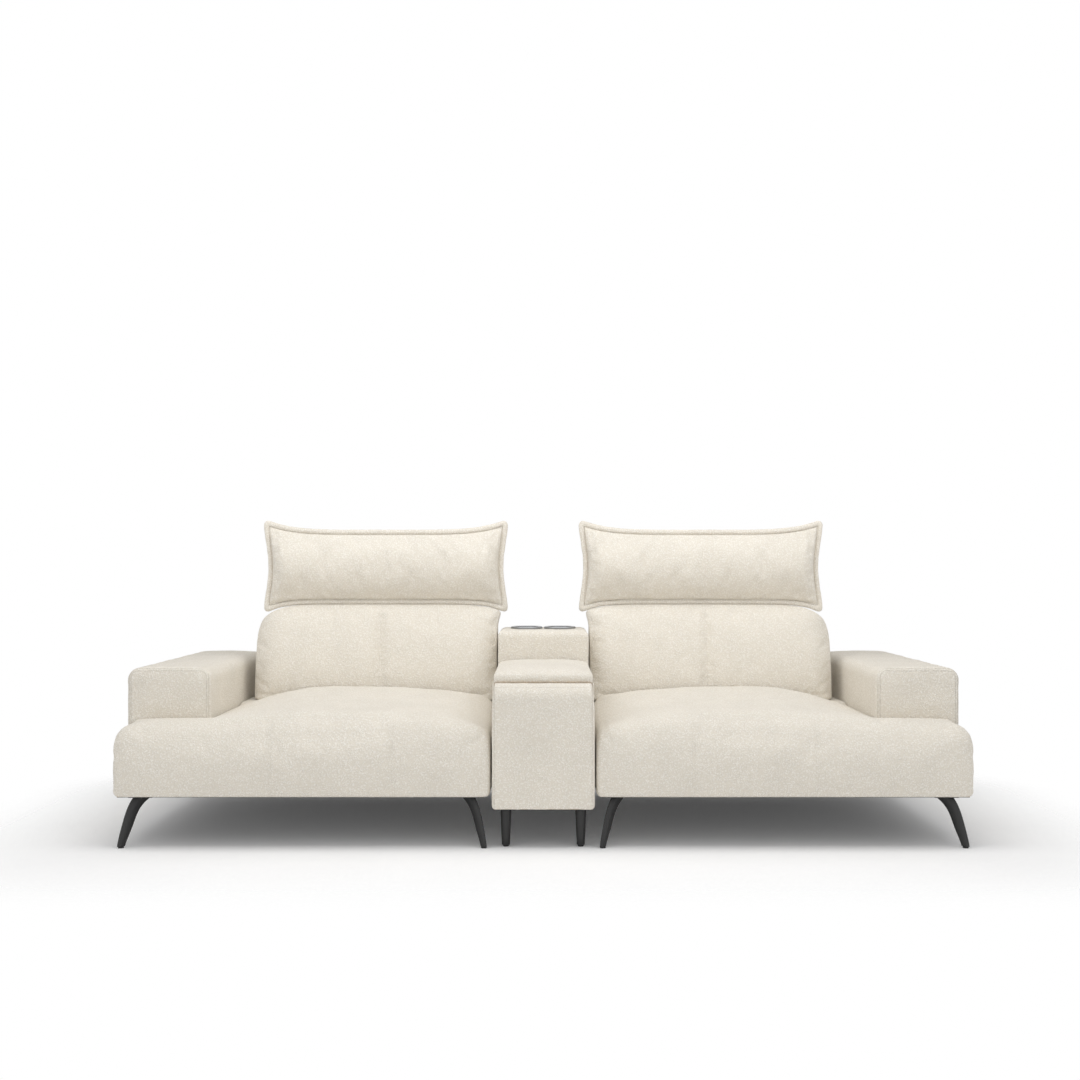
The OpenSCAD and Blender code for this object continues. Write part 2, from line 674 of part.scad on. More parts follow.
module storage_tub() {
    x0 = box_x - board_t - fit;
    y0 = front_y + panel_d + board_t + fit;
    z0 = box_z0 + 2 * board_t;
    color(black) difference() {
        span([-x0, y0, z0], [x0, tub_y1, tub_top]);
        span([-x0 + tub_wall, y0 + tub_wall, z0 + tub_wall], [x0 - tub_wall, tub_y1 - tub_wall, tub_top + eps]);
    }
}

module lid_board() {
    color(timber) span([-lid_x + cover_t, lid_y0 + cover_t, lid_z0], [lid_x - cover_t, lid_y1 - cover_t, lid_z0 + lid_board_t]);
}

lid_round = 18;
lid_crown = 6;
LID_SHARES = [0.96, 0.8, 0.6, 0.4, 0.2, 0.04];
function lid_ring(y) = let (d = min(y - lid_y0, lid_y1 - y), in = draw_in(d, lid_round), x1 = lid_x - in / 2,
    z1 = lid_z0 + lid_board_t + lid_pad_h - lid_crown - in * 0.8, r = lid_round * 0.8,
    v = (y - lid_y0) / lid_l, rise = lid_crown * pow(max(0, sin(180 * v)), 0.7))
    concat([[-x1, y, lid_z0], [0, y, lid_z0], [x1, y, lid_z0], [x1, y, (lid_z0 + z1 - r) / 2]],
    [for (a = [0:30:90]) [x1 - r * (1 - cos(a)), y, z1 - r * (1 - sin(a))]],
    [for (s = LID_SHARES) [(2 * s - 1) * (x1 - r), y, z1 + rise * (1 - pow(2 * s - 1, 4))]],
    [for (a = [90:-30:0]) [-x1 + r * (1 - cos(a)), y, z1 - r * (1 - sin(a))]],
    [[-x1, y, (lid_z0 + z1 - r) / 2]]);

module lid_pad() {
    color(cream) difference() {
        skin([for (y = stations(lid_y0, lid_y1, lid_round, 5)) lid_ring(y)]);
        span([-lid_x + cover_t - slot_fit, lid_y0 + cover_t - slot_fit, lid_z0 - eps],
            [lid_x - cover_t + slot_fit, lid_y1 - cover_t + slot_fit, lid_z0 + lid_board_t + slot_fit]);
    }
}

module hinge_places() {
    for (x = [-hinge_pitch / 2, hinge_pitch / 2]) translate([x, 0, 0]) children();
}

// Leaves that turn with the lid: a middle knuckle, a leaf down its back edge and a foot under the board
module lid_hinge_leaves() {
    half = knuckle_l / 2 - knuckle_play;
    y0 = hinge_y - hinge_r;
    color(black) hinge_places() difference() {
        union() {
            rod_x(-half, half, hinge_y, hinge_z, hinge_r);
            span([-half, y0, lid_z0 - leaf_t], [half, y0 + leaf_t, hinge_z]);
            span([-half, y0 - 2 * cover_t, lid_z0 - leaf_t], [half, y0 + leaf_t, lid_z0]);
        }
        rod_x(-hinge_l, hinge_l, hinge_y, hinge_z, hinge_pin_r + run_fit);
    }
}

module fixed_hinge_leaves() {
    color(black) hinge_places() difference() {
        union() {
            for (x = [-hinge_l / 2, hinge_l / 2 - knuckle_l]) rod_x(x, x + knuckle_l, hinge_y, hinge_z, hinge_r);
            for (x = [-hinge_l / 2, hinge_l / 2 - knuckle_l])
                span([x, block_y0 - leaf_t, lid_z0], [x + knuckle_l, block_y0, hinge_z]);
            span([-hinge_l / 2, block_y0 - leaf_t, console_h - 2 * cover_t], [hinge_l / 2, block_y0, lid_z0]);
        }
        rod_x(-hinge_l, hinge_l, hinge_y, hinge_z, hinge_pin_r + run_fit);
    }
}

module lid_hinge_pins() {
    color(steel) hinge_places() rod_x(-hinge_l / 2, hinge_l / 2, hinge_y, hinge_z, hinge_pin_r);
}

// Padded block with rounded upper edges, bored for the two cup holders
module cup_block() {
    r = block_round;
    z0 = console_h;
    color(cream) difference() {
        intersection() {
            translate([0, rear_y, 0]) rotate([90, 0, 0]) linear_extrude(rear_y - block_y0) union() {
                translate([-console_x, z0]) square([console_w, block_h - r - z0]);
                translate([-console_x + r, z0]) square([console_w - 2 * r, block_h - z0]);
                for (x = [-console_x + r, console_x - r]) translate([x, block_h - r]) circle(r);
            }
            translate([-console_x, 0, 0]) rotate([90, 0, 90]) linear_extrude(console_w) union() {
                translate([block_y0, z0]) square([rear_y - block_y0, block_h - r - z0]);
                translate([block_y0 + r, z0]) square([rear_y - block_y0 - 2 * r, block_h - z0]);
                for (y = [block_y0 + r, rear_y - r]) translate([y, block_h - r]) circle(r);
            }
        }
        for (x = [-cup_x, cup_x]) translate([x, cup_y, block_h - cup_depth - 2 * cup_wall])
            cylinder(d = cup_d + 2 * cup_wall + 2 * fit, h = cup_depth * 2);
    }
}

// Spun steel cup with a flat flange that rests on the block
module cup_holder(s) {
    r = cup_d / 2;
    color(steel) translate([s * cup_x, cup_y, block_h]) rotate_extrude() polygon([[0, -cup_depth - cup_wall],
        [r + cup_wall, -cup_depth - cup_wall], [r + cup_wall, 0], [cup_flange_d / 2, 0], [cup_flange_d / 2, cup_lip / 2],
        [cup_flange_d / 2 - cup_lip, cup_lip], [r + cup_wall, cup_lip], [r, cup_lip / 2], [r, -cup_depth], [0, -cup_depth]]);
}

on_side(-1) base_frame();  // left_base_frame
on_side(-1) seat_webbing();  // left_seat_webbing
on_side(-1) dust_cover();  // left_dust_cover
on_side(-1) seat_cushion();  // left_seat_cushion
on_side(-1) arm_frame();  // left_arm_frame
on_side(-1) arm_pad();  // left_arm_pad
on_side(-1) back_frame();  // left_back_frame
on_side(-1) outer_back();  // left_outer_back
on_side(-1) back_cushion();  // left_back_cushion
on_side(-1) headrest_cushion();  // left_headrest_cushion
on_side(-1) headrest_board();  // left_headrest_board
on_side(-1) ratchet_arms();  // left_ratchet_arms
on_side(-1) ratchet_brackets();  // left_ratchet_brackets
on_side(-1) ratchet_pins();  // left_ratchet_pins
on_side(-1) translate([leg_x1, leg_y0, 0]) leg(1, -1);  // left_front_outer_leg
on_side(-1) translate([leg_x0, leg_y0, 0]) leg(-1, -1);  // left_front_inner_leg
on_side(-1) translate([leg_x1, leg_y1, 0]) leg(1, 1);  // left_rear_outer_leg
on_side(-1) translate([leg_x0, leg_y1, 0]) leg(-1, 1);  // left_rear_inner_leg
on_side(1) base_frame();  // right_base_frame
on_side(1) seat_webbing();  // right_seat_webbing
on_side(1) dust_cover();  // right_dust_cover
on_side(1) seat_cushion();  // right_seat_cushion
on_side(1) arm_frame();  // right_arm_frame
on_side(1) arm_pad();  // right_arm_pad
on_side(1) back_frame();  // right_back_frame
on_side(1) outer_back();  // right_outer_back
on_side(1) back_cushion();  // right_back_cushion
on_side(1) headrest_cushion();  // right_headrest_cushion
on_side(1) headrest_board();  // right_headrest_board
on_side(1) ratchet_arms();  // right_ratchet_arms
on_side(1) ratchet_brackets();  // right_ratchet_brackets
on_side(1) ratchet_pins();  // right_ratchet_pins
on_side(1) translate([leg_x1, leg_y0, 0]) leg(1, -1);  // right_front_outer_leg
on_side(1) translate([leg_x0, leg_y0, 0]) leg(-1, -1);  // right_front_inner_leg
on_side(1) translate([leg_x1, leg_y1, 0]) leg(1, 1);  // right_rear_outer_leg
on_side(1) translate([leg_x0, leg_y1, 0]) leg(-1, 1);  // right_rear_inner_leg
console_carcass();
console_front_panel();
console_side(-1);  // console_left_side
console_side(1);  // console_right_side
console_rear_panel();
console_dust_cover();
storage_tub();
lid_board();
lid_pad();
lid_hinge_leaves();
fixed_hinge_leaves();
lid_hinge_pins();
cup_block();
cup_holder(-1);  // left_cup_holder
cup_holder(1);  // right_cup_holder
translate([-peg_x, peg_y0, 0]) peg();  // console_front_left_leg
translate([peg_x, peg_y0, 0]) peg();  // console_front_right_leg
translate([-peg_x, peg_y1, 0]) peg();  // console_rear_left_leg
translate([peg_x, peg_y1, 0]) peg();  // console_rear_right_leg
leg_glides();
leg_screws();
unit_bolts();
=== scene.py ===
"""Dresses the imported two-seat sofa and its storage console for the render.

Sizes are in metres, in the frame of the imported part: X runs along the sofa, -Y is
its front and Z is up. Left and right are as seen from the front. Each soft piece of
the right seat unit is made once, and the left one is its mirror image.
"""

import json
import logging
import math
from dataclasses import dataclass
from enum import Enum

import bmesh
import bpy
import numpy as np
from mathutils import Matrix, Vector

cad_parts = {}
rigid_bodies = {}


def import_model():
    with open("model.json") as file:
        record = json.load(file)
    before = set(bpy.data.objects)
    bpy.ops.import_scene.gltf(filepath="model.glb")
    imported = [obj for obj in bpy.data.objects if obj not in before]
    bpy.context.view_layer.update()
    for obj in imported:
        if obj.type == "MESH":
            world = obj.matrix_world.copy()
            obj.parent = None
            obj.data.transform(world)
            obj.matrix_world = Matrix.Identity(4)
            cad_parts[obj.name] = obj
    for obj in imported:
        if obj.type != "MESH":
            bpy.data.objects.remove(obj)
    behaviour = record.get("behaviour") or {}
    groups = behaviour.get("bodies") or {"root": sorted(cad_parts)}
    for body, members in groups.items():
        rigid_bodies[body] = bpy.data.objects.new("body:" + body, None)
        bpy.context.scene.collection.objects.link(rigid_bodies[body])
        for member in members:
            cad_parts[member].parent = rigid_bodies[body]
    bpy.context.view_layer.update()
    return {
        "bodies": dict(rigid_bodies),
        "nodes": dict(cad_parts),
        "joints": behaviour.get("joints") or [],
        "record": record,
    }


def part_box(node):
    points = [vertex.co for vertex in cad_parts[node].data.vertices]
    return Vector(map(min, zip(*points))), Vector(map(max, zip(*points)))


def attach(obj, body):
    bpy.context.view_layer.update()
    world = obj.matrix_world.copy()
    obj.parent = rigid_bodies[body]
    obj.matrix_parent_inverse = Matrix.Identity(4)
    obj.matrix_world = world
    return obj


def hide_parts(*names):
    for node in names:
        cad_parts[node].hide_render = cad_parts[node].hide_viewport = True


log = logging.getLogger("sofa")

WELD = 1e-5
FINE_WELD = 1e-6
SHARP_ANGLE = math.radians(38)


class Side(Enum):
    """The two seat units, as seen from the front."""

    LEFT = "left"
    RIGHT = "right"

    @property
    def sign(self) -> int:
        """Which way the unit lies along X."""
        return -1 if self is Side.LEFT else 1


class Slot(Enum):
    """The record's material slots that new pieces take their finish from."""

    BOUCLE = "boucle"
    TIMBER = "timber"
    WEBBING = "webbing"
    LINING = "lining"
    BLACKENED_STEEL = "blackened_steel"
    ZINC_STEEL = "zinc_steel"
    CUP_STEEL = "cup_steel"
    TUB_PLASTIC = "tub_plastic"
    GLIDE_PLASTIC = "glide_plastic"
    BLACK_METAL = "black_metal"


# Shapes


def ease(t: np.ndarray | float) -> np.ndarray:
    """A share that eases from 0 to 1."""
    c = np.clip(t, 0.0, 1.0)
    return c * c * (3 - 2 * c)


def bow(t: np.ndarray | float) -> np.ndarray:
    """A share that rises from 0 to 1 like a quarter circle."""
    c = np.clip(t, 0.0, 1.0)
    return np.sqrt(1 - (1 - c) ** 2)


def facing(part: np.ndarray) -> np.ndarray:
    """How far a surface faces a way, from the part of its normals along it."""
    return ease((part - 0.2) / 0.4)


def drawn_in(d: np.ndarray | float, radius: float) -> np.ndarray:
    """How far a rounding of that radius draws a surface in at a distance from its end."""
    return radius * (1 - bow(np.asarray(d) / radius))


def quarter(count: int) -> np.ndarray:
    """Angles over a quarter turn."""
    return np.linspace(0, math.pi / 2, count)


def stations(low: float, high: float, radius: float, step: float) -> np.ndarray:
    """Places along a span, close together in the rounding at each end.

    Args:
        low: Start of the span.
        high: End of the span.
        radius: Length of the rounding at each end.
        step: Distance between places outside the roundings.

    Returns:
        The places in order.
    """
    turn = quarter(max(5, int(radius / step * 1.6) + 3))
    start = low + radius * (1 - np.cos(turn))
    middle = np.linspace(low + radius, high - radius, int((high - low - 2 * radius) / step) + 2)
    return np.concatenate([start[:-1], middle, (low + high - start[::-1])[1:]])


def along(line: np.ndarray, count: int) -> np.ndarray:
    """Points at even distances along a line of points.

    Args:
        line: The line's points, one a row.
        count: How many points to return.

    Returns:
        An array of count points.
    """
    run = np.concatenate([[0], np.cumsum(np.linalg.norm(np.diff(line, axis=0), axis=1))])
    marks = np.linspace(0, run[-1], count)
    return np.stack([np.interp(marks, run, line[:, k]) for k in range(line.shape[1])], axis=1)


def wobble(points: np.ndarray, length: float, seed: int) -> np.ndarray:
    """A smooth random value at each point, about -1 to 1, from a few seeded waves.

    Args:
        points: Points in metres, one a row.
        length: Usual distance from crest to crest.
        seed: Seed of the waves.

    Returns:
        One value a point.
    """
    rng = np.random.default_rng(seed)
    total = np.zeros(len(points))
    for _ in range(9):
        way = rng.normal(size=3)
        way /= np.linalg.norm(way)
        wave = 2 * math.pi / (length * rng.uniform(0.7, 1.6))
        total += np.sin(points @ way * wave + rng.uniform(0, 2 * math.pi))
    return total / 4.5


def ripples(points: np.ndarray, seed: int, waves: tuple) -> np.ndarray:
    """The height of a few small waves laid over each other.

    Args:
        points: Points in metres, one a row.
        seed: Seed of the first wave; the others follow it.
        waves: Height and length of each wave.

    Returns:
        One height a point.
    """
    return sum(height * wobble(points, length, seed + k) for k, (height, length) in enumerate(waves))


def section(parts: list, place: float, axis: int) -> np.ndarray:
    """One closed ring of lines laid end to end, in a plane across an axis.

    Args:
        parts: The points of each line, and how many points it gets with the next line's first.
        place: Where the plane lies along the axis.
        axis: The axis, 0 for X and 1 for Y.

    Returns:
        The ring's points, one a row.
    """
    line = np.concatenate([along(np.asarray(part), count)[:-1] for part, count in parts])
    return np.insert(line, axis, place, axis=1)


# Meshes


def added(name: str, data: bpy.types.ID) -> bpy.types.Object:
    """Adds an object to the scene.

    Args:
        name: Name of the new object.
        data: Its mesh, camera or lamp.

    Returns:
        The object.
    """
    piece = bpy.data.objects.new(name, data)
    bpy.context.scene.collection.objects.link(piece)
    return piece


def add_mesh(name: str, points: np.ndarray, faces: list) -> bpy.types.Object:
    """Adds a smooth piece made of points and faces.

    Args:
        name: Name of the new piece.
        points: Its points, one a row.
        faces: The points of each face, by number.

    Returns:
        The piece.
    """
    mesh = bpy.data.meshes.new(name)
    mesh.from_pydata(np.asarray(points).tolist(), [], faces)
    mesh.update()
    mesh.shade_smooth()
    return added(name, mesh)


def vectors(items: bpy.types.bpy_prop_collection, key: str) -> np.ndarray:
    """Reads a vector of each item of a mesh.

    Args:
        items: The mesh's vertices or normals.
        key: Name of the vector.

    Returns:
        The vectors, one a row.
    """
    flat = np.zeros(len(items) * 3)
    items.foreach_get(key, flat)
    return flat.reshape(-1, 3)


def places(piece: bpy.types.Object) -> np.ndarray:
    """The vertices of a piece, one a row."""
    return vectors(piece.data.vertices, "co")


def put(piece: bpy.types.Object, points: np.ndarray) -> None:
    """Moves the vertices of a piece to these points."""
    piece.data.vertices.foreach_set("co", np.asarray(points, np.float32).ravel())
    piece.data.update()


def outward(piece: bpy.types.Object) -> np.ndarray:
    """The vertex normals of a piece, one a row."""
    return vectors(piece.data.vertex_normals, "vector")


def welded(piece: bpy.types.Object, distance: float, turn_out: bool = True) -> bpy.types.Object:
    """The piece with the points that lie together merged.

    Args:
        piece: A mesh piece.
        distance: How close such points are.
        turn_out: Whether its faces are turned outward too.

    Returns:
        The same piece.
    """
    made = bmesh.new()
    made.from_mesh(piece.data)
    bmesh.ops.remove_doubles(made, verts=made.verts, dist=distance)
    if turn_out:
        bmesh.ops.recalc_face_normals(made, faces=made.faces)
    made.to_mesh(piece.data)
    made.free()
    return piece


def loft(name: str, rings: np.ndarray) -> bpy.types.Object:
    """A closed skin over rings of points, with its normals outward.

    Args:
        name: Name of the new piece.
        rings: Array of rings by points by three.

    Returns:
        The new piece.
    """
    n, m, _ = rings.shape
    a = np.arange(n - 1)[:, None] * m + np.arange(m)[None, :]
    b = np.arange(n - 1)[:, None] * m + (np.arange(m)[None, :] + 1) % m
    faces = np.stack([a, b, b + m, a + m], axis=-1).reshape(-1, 4).tolist()
    points = np.concatenate([rings.reshape(-1, 3), rings[:1].mean(1), rings[-1:].mean(1)])
    for j in range(m):
        k = (j + 1) % m
        faces.append([n * m, k, j])
        faces.append([n * m + 1, (n - 1) * m + j, (n - 1) * m + k])
    return welded(add_mesh(name, points, faces), WELD)


def settled(piece: bpy.types.Object) -> bpy.types.Object:
    """The piece with its modifiers applied to its mesh.

    Args:
        piece: A mesh piece with modifiers.

    Returns:
        The same piece.
    """
    depsgraph = bpy.context.evaluated_depsgraph_get()
    mesh = bpy.data.meshes.new_from_object(piece.evaluated_get(depsgraph))
    old = piece.data
    piece.modifiers.clear()
    piece.data = mesh
    bpy.data.meshes.remove(old)
    mesh.name = piece.name
    mesh.shade_smooth()
    return piece


def cut_box(piece: bpy.types.Object, low: tuple, high: tuple) -> bpy.types.Object:
    """The piece with a box taken out of it.

    Args:
        piece: A closed mesh piece.
        low: Low corner of the box.
        high: High corner of the box.

    Returns:
        The same piece.
    """
    corners = [(x, y, z) for x in (low[0], high[0]) for y in (low[1], high[1]) for z in (low[2], high[2])]
    sides = [[0, 1, 3, 2], [4, 6, 7, 5], [0, 4, 5, 1], [2, 3, 7, 6], [0, 2, 6, 4], [1, 5, 7, 3]]
    box = add_mesh("cutter", np.array(corners), sides)
    cut = piece.modifiers.new("cut", "BOOLEAN")
    cut.operation, cut.solver, cut.object = "DIFFERENCE", "MANIFOLD", box
    settled(piece)
    bpy.data.objects.remove(box)
    return piece


def remeshed(piece: bpy.types.Object, voxel: float, smoothing: int = 0) -> bpy.types.Object:
    """The piece as one even skin of quads, its edges softened.

    Args:
        piece: A closed mesh piece.
        voxel: Size of the quads.
        smoothing: How many smoothing passes follow.

    Returns:
        The same piece.
    """
    skin = piece.modifiers.new("skin", "REMESH")
    skin.mode, skin.voxel_size, skin.use_smooth_shade = "VOXEL", voxel, True
    if smoothing:
        soft = piece.modifiers.new("soft", "SMOOTH")
        soft.factor, soft.iterations = 0.5, smoothing
    return settled(piece)


def refined(piece: bpy.types.Object) -> bpy.types.Object:
    """The piece after one subdivision.

    Args:
        piece: A mesh piece.

    Returns:
        The same piece.
    """
    finer = piece.modifiers.new("finer", "SUBSURF")
    finer.levels = finer.render_levels = 1
    return settled(piece)


def mirrored(piece: bpy.types.Object, name: str) -> bpy.types.Object:
    """A copy of a right-hand piece for the left-hand unit.

    Args:
        piece: The right unit's piece.
        name: Name of the copy.

    Returns:
        The copy.
    """
    mesh = piece.data.copy()
    mesh.name = name
    copy = added(name, mesh)
    put(copy, places(copy) * np.array([-1, 1, 1]))
    mesh.flip_normals()
    return copy


def from_node(frame: dict, node: str, name: str) -> bpy.types.Object:
    """A new piece with the shape of a CAD node, its points merged.

    Args:
        frame: The loaded frame.
        node: Name of the node.
        name: Name of the new piece.

    Returns:
        The new piece.
    """
    mesh = frame["nodes"][node].data.copy()
    mesh.name = name
    mesh.materials.clear()
    return welded(added(name, mesh), WELD, turn_out=False)


def dress(
    piece: bpy.types.Object, body: str, slot: Slot, material: bpy.types.Material, *nodes: str
) -> bpy.types.Object:
    """Gives a piece its body and material, and hides the CAD nodes that it stands for.

    Args:
        piece: The finished piece.
        body: Name of the CAD body it moves with.
        slot: The record's slot of its finish; not used.
        material: Its material.
        *nodes: CAD nodes that it replaces.

    Returns:
        The same piece.
    """
    piece.data.materials.clear()
    piece.data.materials.append(material)
    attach(piece, body)
    if nodes:
        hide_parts(*nodes)
    log.info("%s: %d faces, rides on %s", piece.name, len(piece.data.polygons), body)
    return piece


@dataclass(frozen=True)
class Stuffing:
    """How a cover swells over its filling, settled by a cloth simulation.

    Attributes:
        pressure: Push of the filling on the cover.
        slack: Spare cloth, as a share of its length.
        reach: The most that a point may move.
        sink: How far the loose cloth starts below its final form.
        frames: Steps of the simulation.
        bending: Stiffness of the cloth against folding.
        stretching: Its stiffness against stretching.
        shearing: Its stiffness against shearing.
        mass: Its mass at each vertex.
    """

    pressure: float = 4.0
    slack: float = 0.02
    reach: float = 0.022
    sink: float = 0.008
    frames: int = 20
    bending: float = 0.6
    stretching: float = 18.0
    shearing: float = 6.0
    mass: float = 0.35

    def swell(self, piece: bpy.types.Object, held: np.ndarray) -> bpy.types.Object:
        """Blows the cover up from its loose start, where it isn't held.

        Args:
            piece: The cover, an even closed mesh.
            held: For each vertex 1 where it is held fast, and 0 where it is loose.

        Returns:
            The same piece.
        """
        start = places(piece) - outward(piece) * (self.sink * (1 - held))[:, None]
        put(piece, start)
        group = piece.vertex_groups.new(name="held")
        for weight in np.unique(np.round(held, 1)):
            picked = np.flatnonzero(np.round(held, 1) == weight)
            group.add(picked.tolist(), float(weight), "REPLACE")
        cloth = piece.modifiers.new("cover", "CLOTH")
        settings = cloth.settings
        settings.quality, settings.mass = 4, self.mass
        settings.tension_stiffness = settings.compression_stiffness = self.stretching
        settings.shear_stiffness = self.shearing
        settings.bending_stiffness = self.bending
        settings.use_pressure = True
        settings.uniform_pressure_force = self.pressure
        settings.shrink_min = -self.slack
        settings.vertex_group_mass = "held"
        settings.effector_weights.gravity = 0
        cloth.collision_settings.use_collision = False
        cloth.point_cache.frame_start, cloth.point_cache.frame_end = 1, self.frames
        scene = bpy.context.scene
        for step in range(1, self.frames + 1):
            scene.frame_set(step)
        shaped = piece.evaluated_get(bpy.context.evaluated_depsgraph_get())
        moved = vectors(shaped.data.vertices, "co") - start
        length = np.maximum(np.linalg.norm(moved, axis=1, keepdims=True), 1e-9)
        moved *= self.reach * np.tanh(length / self.reach) / length
        piece.modifiers.remove(cloth)
        piece.vertex_groups.clear()
        scene.frame_set(1)
        put(piece, start + moved)
        log.info("%s swelled %.1f mm at most", piece.name, 1000 * float(length.max()))
        return piece


# Finishes


class Graph:
    """Short calls for building the nodes of a material or a node group."""

    def __init__(self, tree: bpy.types.NodeTree) -> None:
        """Starts on a tree."""
        self.tree = tree

    def feed(self, value: object, socket: bpy.types.NodeSocket) -> None:
        """Links a value that is a socket, or else sets it.

        Args:
            value: A value or an output socket.
            socket: The input socket.
        """
        if isinstance(value, bpy.types.NodeSocket):
            self.tree.links.new(value, socket)
        else:
            socket.default_value = value

    def add(self, kind: str, **inputs: object) -> bpy.types.Node:
        """A new node with its inputs set or linked.

        Args:
            kind: Node type, without its ShaderNode prefix.
            **inputs: Values or output sockets by socket name, with _ for a space.
                Names that aren't sockets set the node's own properties.

        Returns:
            The node.
        """
        node = self.tree.nodes.new("ShaderNode" + kind)
        sockets = {s.name.replace(" ", "_"): s for s in reversed(node.inputs)}
        for name, value in inputs.items():
            if name in sockets:
                self.feed(value, sockets[name])
            else:
                setattr(node, name, value)
        return node

    def math(self, operation: str, *values: object) -> bpy.types.NodeSocket:
        """The result of one sum.

        Args:
            operation: The Math node's operation.
            *values: Its values or sockets.

        Returns:
            The result's socket.
        """
        node = self.add("Math", operation=operation)
        for socket, value in zip(node.inputs, values):
            self.feed(value, socket)
        return node.outputs[0]

    def blend(self, share: object, first: object, second: object, way: str = "MIX") -> bpy.types.NodeSocket:
        """A mix of two colours.

        Args:
            share: Share of the second colour.
            first: First colour or socket.
            second: Second colour or socket.
            way: How they mix.

        Returns:
            The mixed colour's socket.
        """
        node = self.add("Mix", data_type="RGBA", blend_type=way)
        for index, value in ((0, share), (6, first), (7, second)):
            self.feed(value, node.inputs[index])
        return node.outputs[2]

    def span(
        self, value: object, low: float, high: float, first: float = 0.0, last: float = 1.0
    ) -> bpy.types.NodeSocket:
        """A value carried smoothly from one range to another.

        Args:
            value: The value's socket.
            low: Start of its range.
            high: End of its range.
            first: The result at the start.
            last: The result at the end.

        Returns:
            The result's socket.
        """
        node = self.add(
            "MapRange", Value=value, From_Min=low, From_Max=high, To_Min=first, To_Max=last,
            interpolation_type="SMOOTHSTEP",
        )
        return node.outputs[0]

    def surface(
        self, tone: object, rough: object, height: object, depth: float, strength: float
    ) -> bpy.types.Node:
        """Feeds a material's main shader.

        Args:
            tone: Socket of the colour.
            rough: Socket of the roughness.
            height: Socket of the relief, 0 to 1.
            depth: Depth of the relief in metres.
            strength: How much of the relief shows.

        Returns:
            The shader's node.
        """
        shader = self.tree.nodes["Principled BSDF"]
        relief = self.add("Bump", Height=height, Distance=depth, Strength=strength)
        for label, value in (("Base Color", tone), ("Roughness", rough), ("Normal", relief.outputs[0])):
            self.feed(value, shader.inputs[label])
        return shader


def colour(red: float, green: float, blue: float) -> tuple:
    """A screen colour as the linear colour that a shader takes.

    Args:
        red: Red, 0 to 255.
        green: Green, 0 to 255.
        blue: Blue, 0 to 255.

    Returns:
        Red, green, blue and alpha, 0 to 1.
    """
    shares = [c / 255 for c in (red, green, blue)]
    linear = [s / 12.92 if s <= 0.04045 else ((s + 0.055) / 1.055) ** 2.4 for s in shares]
    return (*linear, 1.0)


def new_material(name: str) -> tuple:
    """A new material.

    Args:
        name: Name of the material.

    Returns:
        The material, its graph and the socket of its object coordinates.
    """
    made = bpy.data.materials.new(name)
    made.use_nodes = True
    g = Graph(made.node_tree)
    return made, g, g.add("TexCoord").outputs["Object"]


def new_group(name: str, inputs: dict, outputs: dict) -> tuple:
    """An empty shader node group with named sockets.

    Args:
        name: Name of the group.
        inputs: Socket kinds by name, with a start value.
        outputs: Socket kinds by name.

    Returns:
        The group, its graph, its input node and its output node.
    """
    group = bpy.data.node_groups.new(name, "ShaderNodeTree")
    for label, (kind, value) in inputs.items():
        socket = group.interface.new_socket(label, in_out="INPUT", socket_type="NodeSocket" + kind)
        if value is not None:
            socket.default_value = value
    for label, kind in outputs.items():
        group.interface.new_socket(label, in_out="OUTPUT", socket_type="NodeSocket" + kind)
    graph = Graph(group)
    return group, graph, group.nodes.new("NodeGroupInput"), group.nodes.new("NodeGroupOutput")


def group_node(g: Graph, group: bpy.types.NodeTree, **inputs: object) -> bpy.types.Node:
    """Places a node group in a graph.

    Args:
        g: The graph.
        group: The group.
        **inputs: Values or sockets by the group's socket names, with _ for a space.

    Returns:
        The group's node.
    """
    node = g.add("Group", node_tree=group)
    for label, value in inputs.items():
        g.feed(value, node.inputs[label.replace("_", " ")])
    return node


